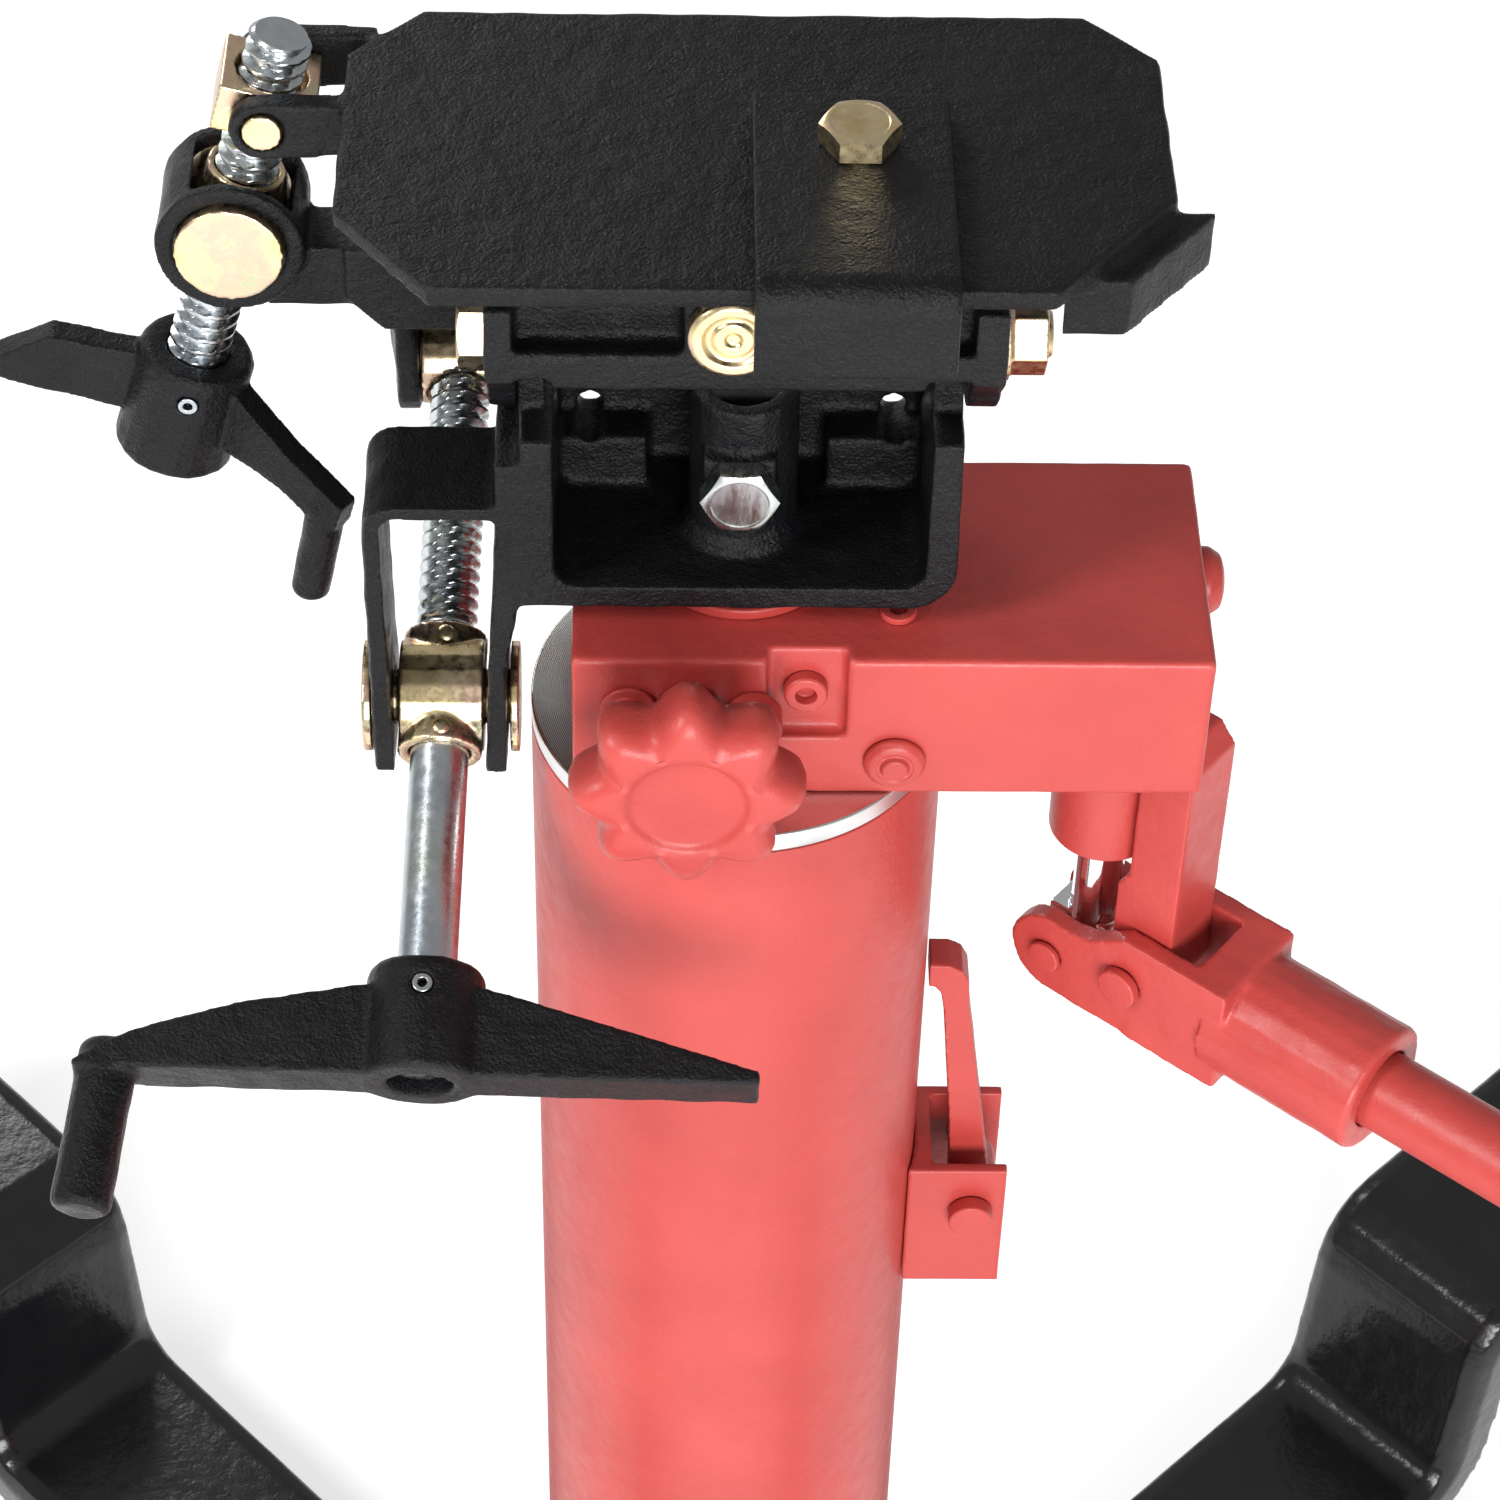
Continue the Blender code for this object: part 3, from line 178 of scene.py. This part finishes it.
def machined(name, rgb, rough, pitch, depth):
    """Turned metal with fine concentric tool marks about the column."""
    material, tree, shader, place = shader_setup(name)
    wave = tree.nodes.new("ShaderNodeTexWave")
    wave.wave_type = "RINGS"
    wave.rings_direction = "Z"
    wave.inputs["Scale"].default_value = pitch
    wave.inputs["Distortion"].default_value = 0.4
    tree.links.new(place, wave.inputs["Vector"])
    tint = tuple(channel * 0.88 for channel in rgb)
    stops = [(NOISE_LOW, tint), (NOISE_HIGH, rgb)]
    tree.links.new(ramp(tree, noise_map(tree, place, 40, 4), stops),
                   shader.inputs["Base Color"])
    shader.inputs["Metallic"].default_value = 1.0
    tree.links.new(spread(tree, wave.outputs["Fac"], *rough), shader.inputs["Roughness"])
    bump(tree, shader, [(wave.outputs["Fac"], depth)])
    return material


# each paint's edge colour is a painted highlight for its convex edges
FINISH = {
    "red_enamel": paint("red_enamel_paint", dark=(0.40, 0.043, 0.037),
                        light=(0.46, 0.054, 0.046), edge_highlight=(0.58, 0.12, 0.10),
                        rough=(0.34, 0.48), peel=0.0002, grain=0.0001, coat=0.08, gloss=0.36),
    "black_casting": paint("black_casting_paint", dark=(0.004, 0.004, 0.005),
                           light=(0.007, 0.007, 0.008), edge_highlight=(0.025, 0.025, 0.027),
                           rough=(0.24, 0.38), peel=0.0006, grain=0.00055, coat=0.0,
                           gloss=0.17),
    "black_leg": paint("black_leg_paint", dark=(0.005, 0.005, 0.006),
                       light=(0.008, 0.008, 0.009), edge_highlight=(0.03, 0.03, 0.032),
                       rough=(0.14, 0.26), peel=0.0002, grain=0.00004, coat=0.1, gloss=0.4),
    "zinc": plated("zinc_plate", [(0.3, (0.40, 0.45, 0.49)), (0.5, (0.54, 0.57, 0.59)),
                                  (0.7, (0.47, 0.52, 0.47))],
                   rough=(0.18, 0.36), streak=(1, 1, 0.25)),
    "gold_zinc": plated("gold_zinc_plate", [(0.28, (0.62, 0.46, 0.22)),
                                            (0.45, (0.74, 0.61, 0.36)),
                                            (0.58, (0.70, 0.48, 0.36)),
                                            (0.72, (0.46, 0.54, 0.34))],
                        rough=(0.2, 0.42), streak=(1, 1, 1)),
    "chrome": plated("chrome_plate", [(0.3, (0.80, 0.81, 0.83)), (0.7, (0.86, 0.87, 0.89))],
                     rough=(0.04, 0.12), streak=(1, 1, 0.1), grain=0.000004),
    "machined_steel": machined("machined_steel_face", (0.74, 0.74, 0.73),
                               rough=(0.16, 0.34), pitch=620, depth=0.00002),
    "wheel_rubber": paint("wheel_rubber_face", dark=(0.014, 0.014, 0.015),
                          light=(0.028, 0.028, 0.029), edge_highlight=(0.06, 0.06, 0.06),
                          rough=(0.55, 0.78), peel=0.0001, grain=0.00008, coat=0.0,
                          gloss=0.4),
}


# ======================================================================================
# Piece helpers
# ======================================================================================
RIPPLE_SCALE = 120            # a casting's unevenness, in features to the metre


def dress(obj, slot, body):
    """Give a finished mesh its material, its slot and the body it moves with."""
    obj.data.materials.clear()
    obj.data.materials.append(FINISH[slot])
    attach(obj, body)
    return obj


def stand_for(obj, node):
    """Dress a piece as the CAD node that it replaces."""
    dress(obj, SLOT[node], BODY[node])
    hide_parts(node)
    return obj


def new_piece(name, bm, place=None):
    """Millimetre bmesh to an object whose mesh is placed in the frame."""
    bmesh.ops.recalc_face_normals(bm, faces=bm.faces)
    if place is not None:
        bmesh.ops.transform(bm, matrix=place, verts=bm.verts)
    bmesh.ops.transform(bm, matrix=Matrix.Scale(MM, 4), verts=bm.verts)
    mesh = bpy.data.meshes.new(name)
    bm.to_mesh(mesh)
    bm.free()
    mesh.shade_smooth()
    mesh.set_sharp_from_angle(angle=math.radians(38))
    obj = bpy.data.objects.new(name, mesh)
    bpy.context.scene.collection.objects.link(obj)
    return obj


def along(origin, direction, side=UP):
    """Placement with local Z along direction and local X near side."""
    z_axis = Vector(direction).normalized()
    x_axis = Vector(side) - Vector(side).dot(z_axis) * z_axis
    if x_axis.length < TINY:
        x_axis = Vector(RIGHT)
    x_axis.normalize()
    turn = Matrix((x_axis, z_axis.cross(x_axis), z_axis)).transposed().to_4x4()
    return Matrix.Translation(Vector(origin)) @ turn


def filleted(profile, width):
    """Round a closed (radius, height) outline's corners, leaving the axis alone."""
    rounded = []
    count = len(profile)
    for i, corner in enumerate(profile):
        here = Vector(corner)
        before = Vector(profile[i - 1]) - here
        after = Vector(profile[(i + 1) % count]) - here
        if here.x < AXIS_R or before.length < TINY or after.length < TINY:
            rounded.append(here)
            continue
        reach = min(width, before.length * 0.45, after.length * 0.45)
        start = here + before.normalized() * reach
        end = here + after.normalized() * reach
        for t in (0, 0.25, 0.5, 0.75, 1):
            rounded.append(start * (1 - t) ** 2 + here * 2 * t * (1 - t) + end * t * t)
    return rounded


def turn_angles(count):
    """Evenly spaced angles of one turn."""
    return [2 * math.pi * i / count for i in range(count)]


def ring(angles, radius, height):
    """A row of points round the axis; radius is one number, or one for each angle."""
    radii = [radius] * len(angles) if isinstance(radius, (int, float)) else radius
    return [(r * math.cos(a), r * math.sin(a), height) for a, r in zip(angles, radii)]


def loft(rows, closed=False):
    """Join rows of points; a row of one point closes the shape to a pole."""
    bm = bmesh.new()
    rings = [[bm.verts.new(point) for point in row] for row in rows]
    for first, second in zip(rings, rings[1:] + (rings[:1] if closed else [])):
        steps = max(len(first), len(second))
        if steps == 1:
            continue
        for i in range(steps):
            j = (i + 1) % steps
            corners = [first[i % len(first)], first[j % len(first)],
                       second[j % len(second)], second[i % len(second)]]
            bm.faces.new(list(dict.fromkeys(corners)))
    return bm


def lathe_mesh(profile, width=0.6, segments=96):
    """Turn a closed (radius, height) outline round the axis, with rounded corners."""
    angles = turn_angles(segments)
    rows = [[(0, 0, height)] if radius < AXIS_R else ring(angles, radius, height)
            for radius, height in filleted(profile, width)]
    return loft(rows, closed=True)


def lathe(node, profile, place=None, width=0.6, segments=96):
    """A turned piece that replaces a CAD node."""
    mesh = lathe_mesh(profile, width, segments)
    return stand_for(new_piece(node + "_turned", mesh, place), node)


def trim_lathe(name, slot, body, profile, place, width=0.4, segments=40):
    """A small turned piece of its own."""
    return dress(new_piece(name, lathe_mesh(profile, width, segments), place), slot, body)


def joint_centre(name):
    """A joint's place in millimetres."""
    return [value / MM for value in JOINT[name]["pos_m"]]


def recast(node, voxel, smooth, ripple):
    """Skin of a casting or forging: rounded edges and an uneven moulded surface."""
    mesh = frame["nodes"][node].data.copy()
    obj = bpy.data.objects.new(node + "_skin", mesh)
    bpy.context.scene.collection.objects.link(obj)
    weld = obj.modifiers.new("Weld", "WELD")
    weld.merge_threshold = 0.01 * MM
    remesh = obj.modifiers.new("Skin", "REMESH")
    remesh.mode = "VOXEL"
    remesh.voxel_size = voxel * MM
    soft = obj.modifiers.new("Soft", "SMOOTH")
    soft.factor = 0.5
    soft.iterations = smooth
    shape = obj.evaluated_get(bpy.context.evaluated_depsgraph_get())
    skin = bpy.data.meshes.new_from_object(shape)
    obj.modifiers.clear()
    obj.data = skin
    bpy.data.meshes.remove(mesh)
    if ripple:
        # set in by 0.35 of the ripple, so the skin keeps to the casting's own size
        normals = [vertex.normal.copy() for vertex in skin.vertices]
        for vertex, normal in zip(skin.vertices, normals):
            lift = noise.noise(vertex.co * RIPPLE_SCALE) - 0.35
            vertex.co += normal * lift * ripple * MM
    skin.shade_smooth()
    return stand_for(obj, node)


def hex_head(node, across_flats, thick, place, shank_r, shank):
    """Hexagon head with its chamfer scallops, washer step and shank."""
    flat = across_flats / 2
    inner = flat * 0.94
    washer, dish = 0.4, 0.25
    angles = turn_angles(96)
    reach = [flat / math.cos((a % (math.pi / 3)) - math.pi / 6) for a in angles]
    rows = [[(0, 0, -shank)]]
    for radius, height in ((shank_r - 0.6, -shank), (shank_r, -shank + 0.8), (shank_r, 0),
                           (inner, 0), (inner, washer), (reach, washer)):
        rows.append(ring(angles, radius, height))
    rows.append([(r * math.cos(a), r * math.sin(a), thick - (r - inner) * 0.5)
                 for a, r in zip(angles, reach)])
    for radius, height in ((inner, thick), (inner * 0.9, thick), (inner * 0.86, thick - dish)):
        rows.append(ring(angles, radius, height))
    rows.append([(0, 0, thick - dish)])
    return stand_for(new_piece(node + "_head", loft(rows), place), node)


# ======================================================================================
# Castings, forgings and welded pieces
# ======================================================================================
CORNERS = range(1, 5)         # the four legs and casters
# node: voxel in mm, smoothing passes, ripple in mm
RECAST = {
    "head_casting": (0.9, 4, 0.34), "tilt_frame": (0.9, 4, 0.34),
    "saddle_plate": (1.1, 3, 0.28), "front_strap": (0.7, 4, 0.12),
    "tilt_crank": (0.75, 7, 0.32), "roll_crank": (0.6, 7, 0.3),
    "pump_lever": (0.75, 4, 0.3), "pump_block": (1.0, 3, 0.12),
    "fulcrum_bracket": (0.7, 3, 0.12), "catch_lever": (0.5, 5, 0.12),
    "catch_bracket": (0.7, 3, 0.1), "tilt_trunnion": (0.5, 4, 0),
    "roll_trunnion": (0.5, 4, 0), "tilt_nut": (0.5, 4, 0), "roll_nut": (0.5, 4, 0),
    "pump_piston": (0.45, 3, 0), "base_hub": (1.4, 4, 0.2),
    **{"leg_%d" % number: (1.7, 2, 0.1) for number in CORNERS},
    "pivot_nut": (0.45, 3, 0),
    **{"caster_fork_%d" % number: (0.9, 3, 0) for number in CORNERS},
    **{"caster_plate_%d" % number: (0.9, 2, 0) for number in CORNERS},
}
for casting, (voxel_mm, passes, ripple_mm) in RECAST.items():
    recast(casting, voxel_mm, passes, ripple_mm)

# ======================================================================================
# Column: tube, cap, rams and gland
# ======================================================================================
cap_bottom = CAP - 6
tube_top = cap_bottom - GAP
lathe("reservoir_tube", [(51, SEAT), (TUBE_R, SEAT), (TUBE_R, tube_top), (51, tube_top)],
      width=0.5, segments=144)
lathe("reservoir_cap", [(RAM_HOLE_R, cap_bottom), (TUBE_R, cap_bottom), (TUBE_R, CAP),
                        (RAM_HOLE_R, CAP)], width=0.8, segments=144)
lathe("pressure_cylinder", [(22, SEAT), (26, SEAT), (26, tube_top), (22, tube_top)])
ram_top = BLOCK_TOP + 4.8
lathe("outer_ram", [(14.3, 130), (21.7, 130), (21.7, 150), (20, 152), (20, ram_top),
                    (14.3, ram_top)], width=0.9)
lathe("inner_ram", [(0, 150), (14, 150), (14, CAP + 52.7), (9, CAP + 52.7), (9, CAP + 102),
                    (0, CAP + 102)], width=0.8)
gland_foot, gland_top = BLOCK_TOP + GAP, BLOCK_TOP + 3.6
lathe("gland_nut", [(RAM_HOLE_R, gland_foot), (24, gland_foot), (24, gland_top),
                    (RAM_HOLE_R, gland_top)], width=0.9)

# ======================================================================================
# Block fittings, release valve and knob
# ======================================================================================
SMALL = 48                    # segments of a small turned piece
front_seat = BLOCK_FRONT - GAP
lathe("cover_screw", [(0, 0), (7.1, 0), (7.1, 1.2), (4.6, 1.2), (4.6, 4.4), (3.4, 5.4),
                      (2, 5.4), (1.6, 3.6), (0, 3.6)],
      along((-28.2, front_seat, CAP + 30.4), OUT), 0.4, SMALL)
lathe("bypass_screw", [(0, 0.5), (2.7, 0.5), (2.7, 3.6), (4.9, 3.6), (5.5, 3.0), (5.5, 0),
                       (0, 0)],
      along((16, BLOCK_FRONT + 4.2, BLOCK_TOP - 12.4), (0, -1, 0.04)), 0.4, 72)
lathe("gallery_plug", [(0, 0), (8, 0), (7.9, 1.3), (6.6, 2.5), (5.1, 3.0), (4.6, 2.6),
                       (3.8, 2.6), (3.2, 3.9), (0, 4.2)],
      along((38.9, front_seat, CAP + 12.4), OUT), 0.5, SMALL)
lathe("fill_plug", [(0, 0), (9, 0), (9, 2.5), (7, 5.5), (4, 6.4), (0, 6.4)],
      along((117.9, 8, CAP + 32), RIGHT), 0.8, SMALL)
lathe("bleed_screw", [(0, 0), (4.6, 0), (4.6, 1.8), (2.4, 1.8), (2.2, 0.5), (0, 0.5)],
      along((39, -20.7, BLOCK_TOP + GAP), UP), 0.3, SMALL)
lathe("check_valve_plug", [(0, 0), (7, 0), (7, 7.4), (0, 7.4)],
      along((3.2, front_seat, CAP + 29.5), OUT), 1.0, SMALL)
valve_place = along((-13.5, 0, CAP + 32), OUT)
lathe("valve_bonnet", [(4.3, 38.9), (7.2, 38.9), (7.2, 51.5), (4.3, 51.5)], valve_place, 0.8,
      SMALL)


def knob():
    """Moulded eight-lobe handwheel: rolled rim, shallow dish and a stem behind."""
    angles = turn_angles(192)
    rim = [26.3 + 2.9 * math.cos(8 * a) for a in angles]
    stem_end, dish = 39.2, 74.1
    rows = [[(0, 0, stem_end)]]
    for radius, height in ((3.6, stem_end), (4, 39.6), (4, 51.8), (8.4, 51.8), (9, 52.4),
                           (9, 57.4), (10.5, 58.2)):
        rows.append(ring(angles, radius, height))
    for inset, height in ((7, 57.4), (3.2, 58.2), (1, 60.2), (0.1, 63.4), (0, 67), (0.3, 70.2),
                          (1.4, 73), (3.6, 75.0), (6.4, 75.9)):
        rows.append(ring(angles, [r - inset for r in rim], height))
    for radius, height in ((17.4, 76.0), (15.8, 75.8), (14.8, 75.2), (14.2, 74.5), (13.2, 74.2),
                           (8, dish)):
        rows.append(ring(angles, radius, height))
    rows.append([(0, 0, dish)])
    stand_for(new_piece("release_knob_moulding", loft(rows), valve_place), "release_knob")


knob()

# ======================================================================================
# Pump: cylinder, pins and handle
# ======================================================================================
PUMP = Matrix.Translation((PUMP_X, 0, 0))
LEVER = PUMP @ Matrix.Rotation(math.radians(-40), 4, "Z")
ACROSS = LEVER.to_3x3() @ Vector(OUT)


def lever_point(x, height):
    """A point in the lever's own upright plane."""
    return LEVER @ Vector((x, 0, height))


cylinder_foot, cylinder_top = CAP - 49, CAP - GAP
lathe("pump_cylinder", [(7, cylinder_foot), (15, cylinder_foot), (15, cylinder_top),
                        (7, cylinder_top)], PUMP, 1.0)
lathe("piston_pin", [(0, -PIN_HALF), (3.7, -PIN_HALF), (3.7, PIN_HALF), (4.8, PIN_HALF),
                     (4.8, 18.6), (0, 18.6)],
      along(lever_point(-3.5, CAP - 90), ACROSS), 0.6, SMALL)
lathe("fulcrum_pin", [(0, -PIN_HALF), (4.8, -PIN_HALF), (4.8, PIN_HALF), (6, PIN_HALF),
                      (6, 19.8), (0, 19.8)],
      along(lever_point(21.3, CAP - 84.5), ACROSS), 0.8, SMALL)
handle_start, handle_end = 56.3, 424
handle_place = LEVER @ Matrix.Translation((0, 0, CAP - 87.5)) @ Matrix.Rotation(
    math.radians(90), 4, "Y")
lathe("pump_handle", [(0, handle_start), (11, handle_start), (11, handle_end),
                      (0, handle_end)], handle_place, 3.0)
lathe("catch_pin", [(0, -17), (5, -17), (5, PIN_HALF), (6.4, PIN_HALF), (6.4, 21.6),
                    (0, 21.6)], along((70.5, 0, CAP - 193), OUT), 0.8, SMALL)

# ======================================================================================
# Bolts, pins and plated hardware of the head
# ======================================================================================
M10_FLATS, M10_HEAD = 17, 6.4
hex_head("head_bolt", M10_FLATS, M10_HEAD, along((-1.2, -16.3, CAP + 83.5), OUT, RIGHT), 5, 6.7)
hex_head("pivot_bolt", 18, 7.3, along((-62.4, 0, CAP + 119.5), (-1, 0, 0), (0, 1, 0)), 6, 136)
hex_head("strap_bolt", M10_FLATS, M10_HEAD, along((25.5, 8, CAP + 169.6), UP), 5, 4)
lathe("roll_pin", [(0, -31), (7, -31), (7, 28.1), (10.8, 28.1), (10.8, 31.4), (9.6, 32.4),
                   (7.4, 32.4), (6.6, 31.2), (5.4, 31.0), (4.6, 31.9), (2.2, 31.9), (1.6, 31.0),
                   (0, 31.0)],
      along(joint_centre("saddle_roll"), OUT), 0.5, 72)

PITCH, SCREW_R, THREAD_DEPTH = 4.0, 7.9, 1.7
ROWS_PER_PITCH = 10


def screw(node, joint, low, high, thread_low):
    """Plain rod below, true right-hand trapezoidal thread above."""
    axis = [-value for value in JOINT[joint]["axis"]]
    place = along(joint_centre(joint), axis, RIGHT)
    angles = turn_angles(SMALL)
    rod_r = SCREW_R - 0.4
    rows = [[(0, 0, low)]]
    for r, z in ((SCREW_R - 1.6, low), (SCREW_R - 0.6, low + 0.8), (rod_r, low + 2),
                 (rod_r, thread_low - 1)):
        rows.append(ring(angles, r, z))
    count = int((high - thread_low) / PITCH * ROWS_PER_PITCH)
    for i in range(count + 1):
        z = thread_low + (high - thread_low) * i / count
        runout = max(0.0, min(1.0, (z - thread_low) / 3.0, (high - z) / 2.0 + 0.15))
        chamfer = (1 - min(1, (high - z) / 1.5)) * 1.2
        radii = []
        for a in angles:
            phase = (z / PITCH - a / (2 * math.pi)) % 1.0
            crest = min(1.0, max(0.0, 2.0 - abs(phase - 0.5) * 7.0))
            radii.append(SCREW_R - THREAD_DEPTH * (1 - crest) * runout - chamfer)
        rows.append(ring(angles, radii, z))
    rows.append([(0, 0, high)])
    return stand_for(new_piece(node + "_threaded", loft(rows), place), node)


screw("tilt_screw", "tilt_screw_spin", -102, 132, 18)
screw("roll_screw", "roll_screw_spin", -72, 57, -46)


def drive_pins(label, hub):
    """Keeper pins in the long screw's trunnion sleeve, and roll pins in a crank's hub."""
    joint = label + "_screw_spin"
    centre = Vector(JOINT[joint]["pos_m"]) / MM
    down = Vector(JOINT[joint]["axis"])
    if label == "tilt":
        facing = Vector(OUT) - Vector(OUT).dot(down) * down
        for number, offset in enumerate((-13, 13)):
            at = centre + down * offset + facing.normalized() * 9.4
            trim_lathe("tilt_keeper_pin_%d" % number, "gold_zinc", "tilt_swivel",
                       [(0, 0), (2.3, 0), (2.3, 1.5), (1.5, 2.0), (0, 2.1)],
                       along(at, facing), 0.3, 32)
    side = along(centre, down, RIGHT).to_3x3() @ Vector((0, 1, 0))
    for number, way in enumerate((1, -1)):
        at = centre + down * hub + side * way * 12.4
        trim_lathe("%s_crank_roll_pin_%d" % (label, number), "zinc", label + "_drive",
                   [(1.2, 0), (2.5, 0), (2.5, 2.6), (1.2, 2.6)], along(at, side * way),
                   0.3, 32)


drive_pins("tilt", 84)
drive_pins("roll", 51)

# ======================================================================================
# Casters: grooved tyres on dished hubs
# ======================================================================================
def wheel(index):
    """One caster's wheel, symmetrical about its middle."""
    joint = "wheel_%d_spin" % index
    half = 16
    profile = [(6.4, -half - 1), (11, -half - 1), (11.6, -half + 1), (16, -half + 1),
               (18, -half + 4), (32, -half + 4), (34, -half + 1.5), (37, -half), (45, -half),
               (48.6, -half + 2.2), (50, -half + 6), (50, -4), (49.2, -3.2), (49.2, -1.8),
               (50, -1), (50, 1), (49.2, 1.8), (49.2, 3.2), (50, 4), (50, half - 6),
               (48.6, half - 2.2), (45, half), (37, half), (34, half - 1.5), (32, half - 4),
               (18, half - 4), (16, half - 1), (11.6, half - 1), (11, half + 1), (6.4, half + 1)]
    lathe("caster_wheel_%d" % index, profile,
          along(joint_centre(joint), JOINT[joint]["axis"]), 0.7)


for number in CORNERS:
    wheel(number)

# ======================================================================================
# Studio and camera
# ======================================================================================
FLOOR_HALF = 6                # metres
FLOOR_GLOW, SKY_STRENGTH = 0.42, 0.38
LIGHT_TARGET = (0, 0, 0.72)
floor_mesh = bpy.data.meshes.new("studio_floor")
floor_mesh.from_pydata([(-FLOOR_HALF, -FLOOR_HALF, 0), (FLOOR_HALF, -FLOOR_HALF, 0),
                        (FLOOR_HALF, FLOOR_HALF, 0), (-FLOOR_HALF, FLOOR_HALF, 0)],
                       [], [(0, 1, 2, 3)])
floor = bpy.data.objects.new("studio_floor", floor_mesh)
bpy.context.scene.collection.objects.link(floor)
floor_paint, floor_tree, floor_shader, floor_place = shader_setup("floor_paint")
floor_stops = [(NOISE_LOW, (0.90, 0.90, 0.90)), (NOISE_HIGH, (0.92, 0.92, 0.92))]
floor_tree.links.new(ramp(floor_tree, noise_map(floor_tree, floor_place, 3, 2), floor_stops),
                     floor_shader.inputs["Base Color"])
floor_shader.inputs["Roughness"].default_value = 0.9
floor_shader.inputs["Emission Color"].default_value = (1, 1, 1, 1)
floor_shader.inputs["Emission Strength"].default_value = FLOOR_GLOW
floor_mesh.materials.append(floor_paint)

world = bpy.data.worlds.new("studio")
bpy.context.scene.world = world
world.use_nodes = True
backdrop = world.node_tree.nodes["Background"]
backdrop.inputs["Color"].default_value = (1.0, 1.0, 1.0, 1)
backdrop.inputs["Strength"].default_value = SKY_STRENGTH


def softbox(name, location, size, power):
    """A rectangular light aimed at the head; metres and watts."""
    light = bpy.data.lights.new(name, "AREA")
    light.shape = "RECTANGLE"
    light.size, light.size_y = size
    light.energy = power
    obj = bpy.data.objects.new(name, light)
    obj.location = location
    way = Vector(LIGHT_TARGET) - Vector(location)
    obj.rotation_euler = way.to_track_quat("-Z", "Y").to_euler()
    bpy.context.scene.collection.objects.link(obj)


softbox("key_light", (0.25, -2.2, 1.15), (1.3, 0.9), 62)
softbox("side_light", (-1.5, -0.9, 2.0), (0.5, 0.9), 26)
softbox("rim_light", (-0.9, 1.6, 1.5), (0.9, 0.4), 9)
bpy.context.scene.view_settings.view_transform = "Standard"

ELEVATION, AZIMUTH, ROLL = (math.radians(angle) for angle in (44.6, -1.7, 1.57))
LENS = 101.52
CAMERA_AT = (-0.0201, -0.7964, 1.4793)
back = Vector((math.sin(AZIMUTH) * math.cos(ELEVATION), -math.cos(AZIMUTH) * math.cos(ELEVATION),
               math.sin(ELEVATION)))
level = (-back).cross(Vector(UP)).normalized()
upright = level.cross(-back)
right = level * math.cos(ROLL) + upright * math.sin(ROLL)
up = upright * math.cos(ROLL) - level * math.sin(ROLL)
camera_data = bpy.data.cameras.new("camera")
camera_data.sensor_width = 36
camera_data.lens = LENS
camera_data.clip_start = 0.01
camera = bpy.data.objects.new("camera", camera_data)
bpy.context.scene.collection.objects.link(camera)
turn = Matrix((right, up, back)).transposed().to_4x4()
camera.matrix_world = Matrix.Translation(CAMERA_AT) @ turn
bpy.context.scene.camera = camera
